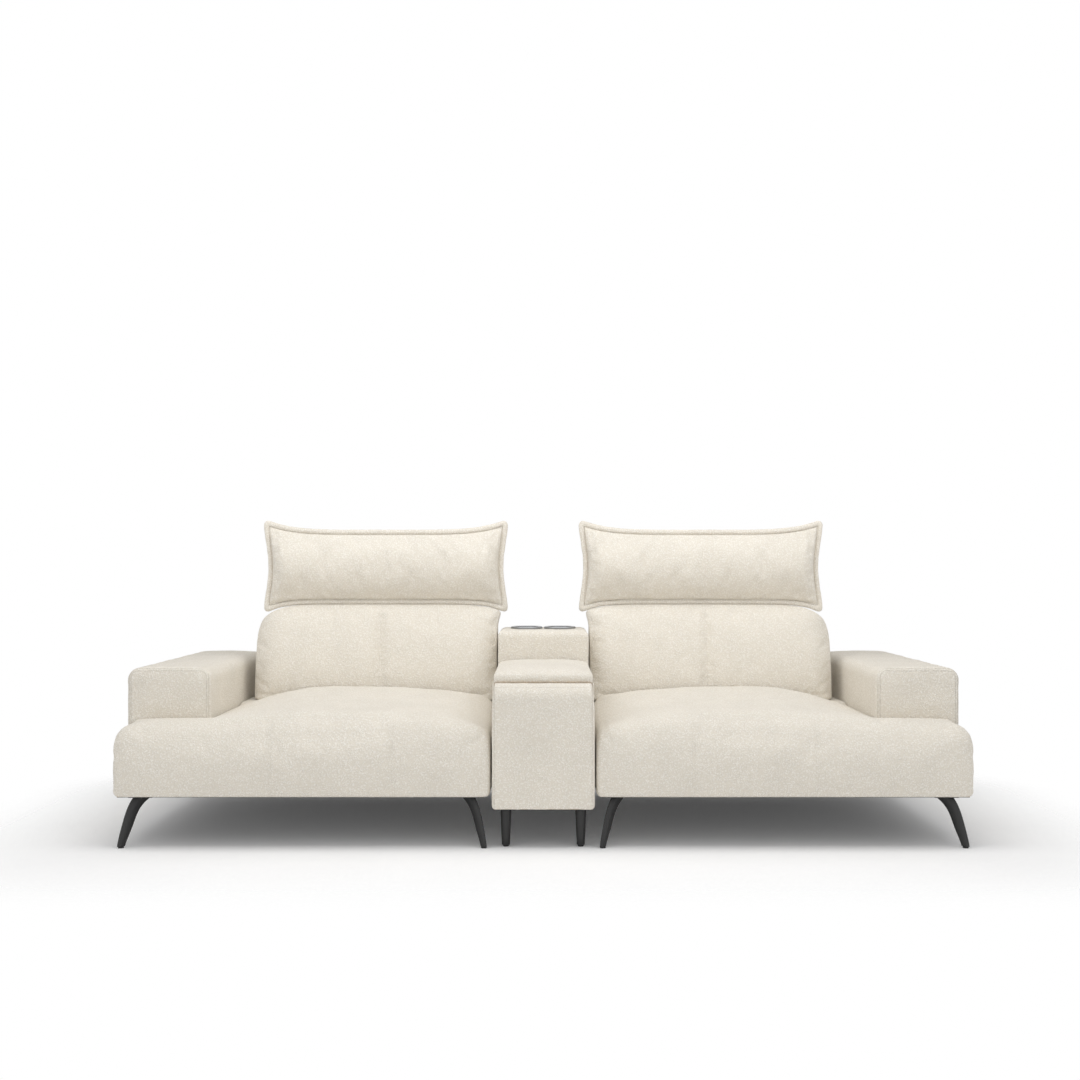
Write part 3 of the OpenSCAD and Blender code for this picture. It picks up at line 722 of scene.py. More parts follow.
def curly_nubs() -> bpy.types.NodeTree:
    """The node group that draws looped yarn in clumps.

    Returns:
        The group, which puts out colour with painted shade between the loops, roughness and height.
    """
    group, g, given, made = new_group(
        "curly_nubs",
        {
            "Vector": ("Vector", None), "Light": ("Color", (1, 1, 1, 1)),
            "Shade": ("Color", (0.5, 0.5, 0.5, 1)), "Size": ("Float", 0.007),
        },
        {"Colour": "Color", "Roughness": "Float", "Height": "Float"},
    )
    per_metre = g.math("DIVIDE", 1.0, given.outputs["Size"])
    bends, loops, fibres = (g.math("MULTIPLY", per_metre, times) for times in (0.7, 2.3, 5.0))
    bend = g.add("TexNoise", Vector=given.outputs["Vector"], Scale=bends, Detail=2.0)
    pushed = g.add("VectorMath", operation="MULTIPLY_ADD")
    terms = (bend.outputs["Color"], (0.006, 0.006, 0.006), given.outputs["Vector"])
    for value, socket in zip(terms, pushed.inputs):
        g.feed(value, socket)
    clump = g.add("TexVoronoi", Vector=pushed.outputs[0], Scale=per_metre, Randomness=1.0)
    loop = g.add("TexVoronoi", Vector=pushed.outputs[0], Scale=loops, Randomness=1.0)
    fibre = g.add("TexNoise", Vector=pushed.outputs[0], Scale=fibres, Detail=3.0)
    patch = g.add("TexNoise", Vector=given.outputs["Vector"], Scale=9.0, Detail=3.0)
    big = g.span(clump.outputs["Distance"], 0.0, 0.75, 1.0, 0.0)
    small = g.span(loop.outputs["Distance"], 0.0, 0.8, 1.0, 0.0)
    height = g.math("ADD", g.math("MULTIPLY", big, 0.55), g.math("MULTIPLY", small, 0.3))
    height = g.math("ADD", height, g.math("MULTIPLY", fibre.outputs[0], 0.25))
    share = g.span(height, 0.25, 0.85)
    # Colour runs from Shade in the low hollows to Light on the raised loops: painted shade between the loops.
    toned = g.blend(share, given.outputs["Shade"], given.outputs["Light"])
    drift = g.span(patch.outputs[0], 0.3, 0.7, 0.965, 1.0)
    whole = g.add("CombineColor", Red=drift, Green=drift, Blue=drift)
    g.feed(g.blend(1.0, toned, whole.outputs[0], "MULTIPLY"), made.inputs["Colour"])
    g.feed(g.span(height, 0.2, 0.9, 1.0, 0.86), made.inputs["Roughness"])
    g.feed(height, made.inputs["Height"])
    return group


def sewn_line() -> bpy.types.NodeTree:
    """The node group that draws one seam as a fine line at a place along a coordinate.

    Returns:
        The group, which puts out the line's mask.
    """
    group, g, given, made = new_group(
        "sewn_line",
        {
            "Coordinate": ("Float", 0.0), "Place": ("Float", 0.0), "Half Width": ("Float", 0.002),
            "Gate": ("Float", 0.0), "Gate Low": ("Float", -9.0), "Gate High": ("Float", 9.0),
        },
        {"Line": "Float"},
    )
    off = g.math("ABSOLUTE", g.math("SUBTRACT", given.outputs["Coordinate"], given.outputs["Place"]))
    share = g.math("DIVIDE", off, given.outputs["Half Width"])
    line = g.span(share, 0.0, 1.0, 1.0, 0.0)
    above = g.math("GREATER_THAN", given.outputs["Gate"], given.outputs["Gate Low"])
    below = g.math("LESS_THAN", given.outputs["Gate"], given.outputs["Gate High"])
    g.feed(g.math("MULTIPLY", line, g.math("MULTIPLY", above, below)), made.inputs["Line"])
    return group


@dataclass(frozen=True)
class Seam:
    """A straight seam in the plane of one coordinate.

    Attributes:
        axis: The coordinate, 0 to 2, that is the same all along it.
        place: Its value there, or its distance from the middle for X.
        gate: The coordinate that bounds the seam.
        low: Lowest value of the gate.
        high: Highest value of the gate.
        rows: Stitched rows, side by side.
        strength: How much it shows, up to 1.
    """

    axis: int
    place: float
    gate: int = 2
    low: float = -9.0
    high: float = 9.0
    rows: int = 1
    strength: float = 1.0

    def coordinate(self, g: Graph, across: list) -> bpy.types.NodeSocket:
        """The socket that has the seam's place along the seam."""
        return across[self.axis]


@dataclass(frozen=True)
class BorderSeam(Seam):
    """A seam a set distance in from a front face's outline, round its upper corners.

    Attributes:
        middle: Distance of the face's middle from the sofa's middle.
        half: Half the face's width.
        top: Height of its upper edge.
        corner: Radius of its upper corners.
    """

    middle: float = 0.0
    half: float = 0.1
    top: float = 0.5
    corner: float = 0.03

    def coordinate(self, g: Graph, across: list) -> bpy.types.NodeSocket:
        """Measures each point's distance in from the outline.

        Args:
            g: The material's graph.
            across: Sockets of the distance from the sofa's middle, of Y and of Z.

        Returns:
            The distance's socket.
        """
        aside = g.math("ABSOLUTE", g.math("SUBTRACT", across[0], self.middle))
        out = g.math("MAXIMUM", g.math("SUBTRACT", aside, self.half - self.corner), 0.0)
        up = g.math("MAXIMUM", g.math("SUBTRACT", across[2], self.top - self.corner), 0.0)
        reach = g.math("SQRT", g.math("ADD", g.math("MULTIPLY", out, out), g.math("MULTIPLY", up, up)))
        return g.math("SUBTRACT", self.corner, reach)


@dataclass(frozen=True)
class EdgeSeam(Seam):
    """A seam along a piece's outline, at a distance that its mesh keeps for each vertex."""

    def coordinate(self, g: Graph, across: list) -> bpy.types.NodeSocket:
        """The socket that has each point's distance in from the outline."""
        return g.add("Attribute", attribute_name="edge").outputs["Fac"]


@dataclass(frozen=True)
class Boucle:
    """Cream looped-yarn upholstery cloth with its seams.

    Attributes:
        light: Colour on top of the loops, lighter because it stands for their lit side.
        shade: Colour between them, darker as painted shade in the hollows.
        size: Width of a clump of loops.
        depth: Height of the loops.
        half_width: Half the width of a stitched line.
        row_gap: Distance between two stitched rows.
        seam_shade: Colour of the stitched lines, darker as painted shade in their grooves.
        tint: Share of that colour in a line.
        sunk: Depth of a line, as a share of the loops' height.
    """

    light: tuple = colour(250, 246, 238)
    shade: tuple = colour(230, 223, 210)
    size: float = 0.0058
    depth: float = 0.0022
    half_width: float = 0.0016
    row_gap: float = 0.007
    seam_shade: tuple = colour(186, 176, 158)
    tint: float = 0.4
    sunk: float = 0.9

    def stitched(
        self, g: Graph, place: bpy.types.NodeSocket, line: bpy.types.NodeTree, seams: tuple
    ) -> bpy.types.NodeSocket:
        """The mask of all the seams of a piece.

        Args:
            g: The material's graph.
            place: Socket of the object coordinates.
            line: The group of one stitched line.
            seams: The seams, at least one.

        Returns:
            The mask's socket.
        """
        axes = g.add("SeparateXYZ", Vector=place)
        across = [g.math("ABSOLUTE", axes.outputs[0]), axes.outputs[1], axes.outputs[2]]
        mask = None
        for seam in seams:
            coordinate = seam.coordinate(g, across)
            for row in range(seam.rows):
                shift = self.row_gap * (row - (seam.rows - 1) / 2)
                drawn = group_node(
                    g, line, Coordinate=coordinate, Place=seam.place + shift, Half_Width=self.half_width,
                    Gate=across[seam.gate], Gate_Low=seam.low, Gate_High=seam.high,
                )
                shown = g.math("MULTIPLY", drawn.outputs[0], seam.strength)
                mask = shown if mask is None else g.math("MAXIMUM", mask, shown)
        return mask

    def material(
        self, name: str, nubs: bpy.types.NodeTree, line: bpy.types.NodeTree, seams: tuple = ()
    ) -> bpy.types.Material:
        """The cloth's material.

        Args:
            name: Name of the material.
            nubs: The group of looped yarn.
            line: The group of one stitched line.
            seams: Seams drawn on this piece.

        Returns:
            The material.
        """
        made, g, place = new_material(name)
        yarn = group_node(g, nubs, Vector=place, Light=self.light, Shade=self.shade, Size=self.size)
        tone, height = yarn.outputs["Colour"], yarn.outputs["Height"]
        if seams:
            mask = self.stitched(g, place, line, seams)
            # The seams are darkened towards their own colour: painted shade in the grooves of the stitched
            # lines.
            tone = g.blend(g.math("MULTIPLY", mask, self.tint), tone, self.seam_shade)
            height = g.math("SUBTRACT", height, g.math("MULTIPLY", mask, self.sunk))
        shader = g.surface(tone, yarn.outputs["Roughness"], height, self.depth, 1.0)
        for label, value in (("Specular IOR Level", 0.2), ("Sheen Weight", 0.15), ("Sheen Roughness", 0.6)):
            shader.inputs[label].default_value = value
        return made


def worn_skin() -> bpy.types.NodeTree:
    """The node group for coated and bare hard surfaces.

    Returns:
        The group, which puts out a mottled colour, roughness and fine height.
    """
    group, g, given, made = new_group(
        "worn_skin",
        {
            "Vector": ("Vector", None), "Base": ("Color", (0.5, 0.5, 0.5, 1)), "Mottle": ("Float", 0.1),
            "Grain": ("Float", 900.0), "Stretch": ("Vector", (1, 1, 1)),
            "Rough Low": ("Float", 0.3), "Rough High": ("Float", 0.4),
        },
        {"Colour": "Color", "Roughness": "Float", "Height": "Float"},
    )
    drawn = g.add("VectorMath", operation="MULTIPLY")
    g.feed(given.outputs["Vector"], drawn.inputs[0])
    g.feed(given.outputs["Stretch"], drawn.inputs[1])
    fine = g.add("TexNoise", Vector=drawn.outputs[0], Scale=given.outputs["Grain"], Detail=4.0)
    broad = g.add("TexNoise", Vector=given.outputs["Vector"], Scale=14.0, Detail=4.0)
    patches, specks = (
        g.math("MULTIPLY", g.math("SUBTRACT", noise.outputs[0], 0.5), given.outputs["Mottle"])
        for noise in (broad, fine)
    )
    share = g.math("ADD", 1.0, g.math("ADD", patches, specks))
    tone = g.add("CombineColor", Red=share, Green=share, Blue=share)
    g.feed(g.blend(1.0, given.outputs["Base"], tone.outputs[0], "MULTIPLY"), made.inputs["Colour"])
    spread = g.math("SUBTRACT", given.outputs["Rough High"], given.outputs["Rough Low"])
    mixed = g.math("MULTIPLY", g.math("ADD", fine.outputs[0], broad.outputs[0]), 0.5)
    g.feed(g.math("MULTIPLY_ADD", mixed, spread, given.outputs["Rough Low"]), made.inputs["Roughness"])
    g.feed(fine.outputs[0], made.inputs["Height"])
    return group


@dataclass(frozen=True)
class HardSkin:
    """A coated, moulded or brushed hard finish.

    Attributes:
        base: Its colour.
        metallic: 1 for bare metal, 0 otherwise.
        rough: Lowest and highest roughness.
        mottle: Share that its tone varies by.
        grain: Fine marks per metre.
        stretch: How the marks are drawn out along each axis.
        depth: Height of the fine marks.
    """

    base: tuple
    metallic: float = 0.0
    rough: tuple = (0.35, 0.5)
    mottle: float = 0.12
    grain: float = 900.0
    stretch: tuple = (1.0, 1.0, 1.0)
    depth: float = 0.00006

    def material(self, name: str, skin: bpy.types.NodeTree) -> bpy.types.Material:
        """The finish's material.

        Args:
            name: Name of the material.
            skin: The group of worn skin.

        Returns:
            The material.
        """
        made, g, place = new_material(name)
        worn = group_node(
            g, skin, Vector=place, Base=self.base, Mottle=self.mottle, Grain=self.grain, Stretch=self.stretch,
            Rough_Low=self.rough[0], Rough_High=self.rough[1],
        )
        tone, rough, height = (worn.outputs[label] for label in ("Colour", "Roughness", "Height"))
        shader = g.surface(tone, rough, height, self.depth, 0.6)
        shader.inputs["Metallic"].default_value = self.metallic
        return made


@dataclass(frozen=True)
class SawnTimber:
    """Sawn softwood and ply of the hidden frames.

    Attributes:
        early: Colour of the pale rings.
        late: Colour of the dark rings.
        rings: Growth rings per metre.
        drawn_out: How much longer the grain is along X and Y.
        slant: How the rings lean, so that a flat board shows them too.
        waver: How far noise moves them, in rings.
    """

    early: tuple = colour(214, 184, 140)
    late: tuple = colour(176, 138, 92)
    rings: float = 55.0
    drawn_out: float = 4.0
    slant: float = 1.4
    waver: float = 5.0

    def material(self, name: str) -> bpy.types.Material:
        """The timber's material.

        Args:
            name: Name of the material.

        Returns:
            The material.
        """
        made, g, place = new_material(name)
        drawn = g.add("Mapping", Vector=place, Scale=(1 / self.drawn_out, 1 / self.drawn_out, 1.0))
        warp = g.add("TexNoise", Vector=drawn.outputs[0], Scale=8.0, Detail=4.0)
        axes = g.add("SeparateXYZ", Vector=drawn.outputs[0])
        leaning = g.math("ADD", axes.outputs[2], g.math("MULTIPLY", axes.outputs[0], self.slant))
        phase = g.math("MULTIPLY", leaning, self.rings)
        ring = g.math("FRACT", g.math("ADD", phase, g.math("MULTIPLY", warp.outputs[0], self.waver)))
        pores = g.add("TexNoise", Vector=drawn.outputs[0], Scale=420.0, Detail=3.0)
        share = g.math("MULTIPLY", ring, g.span(pores.outputs[0], 0.3, 0.7, 0.7, 1.0))
        tone, rough = g.blend(share, self.early, self.late), g.span(ring, 0.0, 1.0, 0.62, 0.78)
        g.surface(tone, rough, pores.outputs[0], 0.0003, 0.7)
        return made


@dataclass(frozen=True)
class PlainWeave:
    """Plain woven or spun-bonded black cloth of the hidden sides.

    Attributes:
        light: Colour of the raised threads.
        dark: Colour between them.
        pitch: Distance between neighbouring threads.
    """

    light: tuple
    dark: tuple
    pitch: float = 0.0016

    def material(self, name: str) -> bpy.types.Material:
        """The cloth's material.

        Args:
            name: Name of the material.

        Returns:
            The material.
        """
        made, g, place = new_material(name)
        axes = g.add("SeparateXYZ", Vector=place)
        wave = 2 * math.pi / self.pitch
        warp, weft = (g.math("SINE", g.math("MULTIPLY", axes.outputs[k], wave)) for k in (0, 1))
        height = g.math("MULTIPLY_ADD", g.math("MULTIPLY", warp, weft), 0.5, 0.5)
        fluff = g.add("TexNoise", Vector=place, Scale=700.0, Detail=3.0)
        height = g.math("ADD", height, fluff.outputs[0])
        tone = g.blend(g.span(height, 0.3, 1.4), self.dark, self.light)
        g.surface(tone, g.span(height, 0.3, 1.4, 0.95, 0.8), height, 0.0003, 0.8)
        return made


class Finishes:
    """Every material of the sofa, made once."""

    def __init__(self) -> None:
        """Builds the node groups and the materials that need no seams."""
        self.nubs = curly_nubs()
        self.line = sewn_line()
        self.skin = worn_skin()
        self.boucle = Boucle()
        self.hard = {
            Slot.BLACK_METAL: HardSkin(colour(38, 38, 38), rough=(0.38, 0.55), depth=0.00008),
            Slot.BLACKENED_STEEL: HardSkin(colour(44, 44, 46), metallic=1.0, rough=(0.35, 0.5)),
            Slot.ZINC_STEEL: HardSkin(colour(196, 197, 198), metallic=1.0, rough=(0.25, 0.4), grain=300.0),
            Slot.CUP_STEEL: HardSkin(
                colour(150, 151, 153), metallic=1.0, rough=(0.22, 0.36), stretch=(1, 1, 12), mottle=0.06
            ),
            Slot.TUB_PLASTIC: HardSkin(colour(46, 46, 48), rough=(0.5, 0.65), grain=1400.0, depth=0.00015),
            Slot.GLIDE_PLASTIC: HardSkin(colour(30, 30, 30), rough=(0.45, 0.6)),
        }
        self.made = {slot: finish.material(slot.value, self.skin) for slot, finish in self.hard.items()}
        self.made[Slot.TIMBER] = SawnTimber().material("timber")
        straps = PlainWeave(colour(92, 92, 92), colour(34, 34, 34), 0.003)
        self.made[Slot.WEBBING] = straps.material("webbing")
        self.made[Slot.LINING] = PlainWeave(colour(52, 52, 53), colour(28, 28, 29)).material("lining")

    def cloth(self, name: str, *seams: Seam) -> bpy.types.Material:
        """Boucle with the seams of one piece."""
        return self.boucle.material("boucle_" + name, self.nubs, self.line, seams)


# The seat units


@dataclass
class SeatBlock:
    """The crowned seat of one unit, which runs on in front of the arm.

    Attributes:
        inner: Its end beside the console, along X.
        outer: Its end under the arm's outer side.
        front: Its front, along Y.
        rear: The end of the tongue under the back cushion.
        back_line: Where the back cushion's face meets it.
        under: Height of its underside.
        ledge: Height of the ledge in front of the arm.
        edge_rise: Rise of the ledge towards the back.
        crown: Rise of the crown above the ledge.
        rounding: Radius of its upper edges.
        foot: Radius of its lower front edge.
        bulge: Swell of its front face.
        tuck: Height of the tongue.
        arm_x: The arm's inner side.
        arm_y: The arm's front.
        deck: Height of the frame's deck.
        cavity: Low and high corner of the frame's space, in plan.
        seams: Places of the front's seams along X.
        seam_width: Half the width of the cloth that a seam pulls on.
        seam_hold: How fast a seam holds it.
        loose_low: Height where the top's loose cloth starts.
        end_lean: How far the outer end draws in towards its foot.
        end_width: Length of the end that does.
        arm_gap: Space between the seat and the arm.
        ripple: Height and length of the small waves in its cloth.
        seed: Seed of those waves.
        voxel: Size of its skin's quads.
        stuffing: How its cover swells.
    """

    inner: float = 0.167
    outer: float = 1.370
    front: float = -0.520
    rear: float = 0.299
    back_line: float = 0.076
    under: float = 0.156
    ledge: float = 0.392
    edge_rise: float = 0.022
    crown: float = 0.041
    rounding: float = 0.060
    foot: float = 0.012
    bulge: float = 0.006
    tuck: float = 0.400
    arm_x: float = 1.095
    arm_y: float = -0.333
    deck: float = 0.252
    cavity: tuple = ((0.1865, -0.4905), (1.3525, 0.520))
    seams: tuple = (0.473, 0.861)
    seam_width: float = 0.012
    seam_hold: float = 0.15
    loose_low: float = 0.30
    end_lean: float = 0.006
    end_width: float = 0.10
    arm_gap: float = 0.0005
    ripple: tuple = ((0.0007, 0.09), (0.0005, 0.035))
    seed: int = 3
    voxel: float = 0.011
    stuffing: Stuffing = Stuffing(pressure=4.0, slack=0.006, reach=0.022, sink=0.006)

    def top(self, x: float, y: np.ndarray) -> np.ndarray:
        """Height of the seat's upper side.

        Args:
            x: Place along X.
            y: Places along Y.

        Returns:
            The height at each of them.
        """
        v = (y - self.front) / (self.back_line - self.front)
        s = (x - self.inner) / (self.arm_x - self.inner)
        c = float(np.clip(s, 0, 1))
        level = max(0.0, math.sin(math.pi * c)) ** 0.6 if c < 0.5 else ease((1 - c) / 0.3)
        swell = ease(c / 0.3) * ease((1 - c) / 0.35)
        rise = self.edge_rise * ease((v - 0.35) / 0.65) * ease((1 - c) / 0.25)
        share = 0.5 + 0.5 * ease(v)
        return self.ledge + rise + self.crown * share * (ease(v) * level + (1 - ease(v)) * swell)

    def ring(self, x: float) -> np.ndarray:
        """One closed section across the seat at a place along X.

        Args:
            x: The place.

        Returns:
            The section's points, one a row.
        """
        d = min(x - self.inner, self.outer - x)
        up, low = float(drawn_in(d, self.rounding)), float(drawn_in(d, self.foot))
        y0, z0, r, e, b = self.front + up * 0.2, self.under + low, self.rounding, self.foot, self.bulge
        crest = float(self.top(x, np.array(self.front + r))) - up
        turn = quarter(9)
        lip = np.stack([y0 + b + e * (1 - np.sin(turn)), z0 + e * (1 - np.cos(turn))], 1)
        s = np.linspace(0, 1, 13)
        face = np.stack([y0 + b * (2 * s - 1) ** 2, z0 + e + s * (crest - r - z0 - e)], 1)
        curl = np.stack([y0 + b * np.cos(turn) + r * (1 - np.cos(turn)), crest - r + r * np.sin(turn)], 1)
        y = np.linspace(self.front + r, self.back_line, 30)
        seat = np.stack([y, self.top(x, y) - up], 1)
        step = np.array([seat[-1], [self.back_line, self.tuck - up / 2]])
        tuck = np.array([step[-1], [self.rear, self.tuck - up / 2]])
        rear = np.array([tuck[-1], [self.rear, z0]])
        sole = np.array([rear[-1], lip[0]])
        parts = [(lip, 5), (face, 13), (curl, 9), (seat, 40), (step, 5), (tuck, 14), (rear, 12), (sole, 50)]
        return section(parts, x, 0)

    def held(self, points: np.ndarray, normals: np.ndarray) -> np.ndarray:
        """Where the cover is fast: everywhere but the top, the front and the outer end.

        Args:
            points: The cover's points, one a row.
            normals: Its normals there.

        Returns:
            For each point 1 where it is fast, and 0 where it is loose.
        """
        x, y, z = points.T
        top = facing(normals[:, 2]) * ease((z - self.loose_low) / 0.04)
        top *= ease((self.back_line - 0.005 - y) / 0.03)
        clear = 1 - ease((x - self.arm_x + 0.03) / 0.02) * ease((y - self.arm_y + 0.03) / 0.02)
        front = facing(-normals[:, 1]) * ease((self.front + self.rounding - y) / 0.02)
        front *= ease((z - self.under) / 0.03)
        end = facing(normals[:, 0]) * ease((x - self.outer + 0.05) / 0.02)
        end *= ease((z - self.under) / 0.04) * ease((self.arm_y - 0.01 - y) / 0.03)
        loose = np.maximum(np.maximum(top * clear, front), end * 0.8)
        loose *= ease((x - self.inner - 0.004) / 0.03)
        for seam in self.seams:
            pinch = np.exp(-(((x - seam) / self.seam_width) ** 2)) * ease((self.front + 0.05 - y) / 0.02)
            loose *= 1 - self.seam_hold * pinch
        return 1 - loose

    def build(self) -> bpy.types.Object:
        """Builds the right unit's seat.

        Returns:
            The new piece.
        """
        across = stations(self.inner, self.outer, self.rounding, 0.014)
        rings = np.array([self.ring(float(x)) for x in across])
        share = np.clip((rings[..., 2] - self.under) / (self.ledge - self.under), 0, 1)
        near_end = ease((rings[..., 0] - self.outer + self.end_width) / self.end_width)
        rings[..., 0] -= self.end_lean * (1 - share) ** 1.6 * near_end
        piece = loft("right_seat", rings)
        (x0, y0), (x1, y1) = self.cavity
        cut_box(piece, (x0, y0, 0.0), (x1, y1 + 0.05, self.deck))
        corner = (self.arm_x - self.arm_gap, self.arm_y - self.arm_gap, 0.0)
        cut_box(piece, corner, (self.outer + 0.05, 0.6, 0.6))
        remeshed(piece, self.voxel, 2)
        points = places(piece)
        self.stuffing.swell(piece, self.held(points, outward(piece)))
        refined(piece)
        points, normals = places(piece), outward(piece)
        loose = 1 - self.held(points, normals)
        put(piece, points + normals * (loose * ripples(points, self.seed, self.ripple))[:, None])
        return piece


@dataclass
class ArmRest:
    """The low wide arm of one unit.

    Attributes:
        inner: Its side towards the seat, along X.
        outer: Its outer side.
        front: Its front, along Y.
        rear: Its rear.
        under: Height of its underside.
        top: Height of its top.
        rounding: Radius of its long upper edges.
        front_round: Radius round its ends.
        camber: Rise of its top.
        ledge: Height of the seat's ledge before it.
        margin: Width at the front's edges that stays flat.
        puff: Swell of its front.
        ripple: Height and length of the small waves in its cloth.
        seed: Seed of those waves.
        frame_low: Low corner of the frame's space.
        frame_high: High corner of that space.
        voxel: Size of its skin's quads.
    """

    inner: float = 1.095
    outer: float = 1.370
    front: float = -0.333
    rear: float = 0.520
    under: float = 0.156
    top: float = 0.558
    rounding: float = 0.037
    front_round: float = 0.014
    camber: float = 0.004
    ledge: float = 0.39
    margin: float = 0.05
    puff: float = 0.003
    ripple: tuple = ((0.0008, 0.11), (0.0004, 0.04))
    seed: int = 8
    frame_low: tuple = (1.094, -0.334, 0.0)
    frame_high: tuple = (1.3525, 0.4985, 0.252)
    voxel: float = 0.006

    def ring(self, y: float) -> np.ndarray:
        """One closed section across the arm at a place along Y.

        Args:
            y: The place.

        Returns:
            The section's points, one a row.
        """
        draw = float(drawn_in(min(y - self.front, self.rear - y), self.front_round))
        x0, x1, z0, z1 = self.inner + draw, self.outer - draw, self.under + draw, self.top - draw
        r, turn = self.rounding, quarter(9)
        s = np.linspace(0, 1, 21)
        rise = z1 - self.camber - r
        left = np.stack([x0 + r * (1 - np.cos(turn)), rise + r * np.sin(turn)], 1)
        over = np.stack([x0 + r + s * (x1 - x0 - 2 * r), z1 - self.camber * (2 * s - 1) ** 2 * 0.9], 1)
        right = np.stack([x1 - r * (1 - np.cos(turn[::-1])), rise + r * np.sin(turn[::-1])], 1)
        parts = [
            ([[x0, z0], left[0]], 26), (left, 8), (over, 26), (right, 8),
            ([right[-1], [x1, z0]], 26), ([[x1, z0], [x0, z0]], 20),
        ]
        return section(parts, y, 1)

    def build(self) -> bpy.types.Object:
        """Builds the right unit's arm.

        Returns:
            The new piece.
        """
        places_y = stations(self.front, self.rear, self.front_round, 0.012)
        piece = loft("right_arm", np.array([self.ring(float(y)) for y in places_y]))
        cut_box(piece, self.frame_low, self.frame_high)
        remeshed(piece, self.voxel, 2)
        points, normals = places(piece), outward(piece)
        x, _, z = points.T
        middle = ease((x - self.inner) / self.margin) * ease((self.outer - x) / self.margin)
        tall = ease((z - self.ledge) / self.margin) * ease((self.top - z) / self.margin)
        puff = self.puff * middle * tall * ease((-normals[:, 1] - 0.5) / 0.4)
        puff += ripples(points, self.seed, self.ripple)
        put(piece, points + normals * puff[:, None])
        return piece


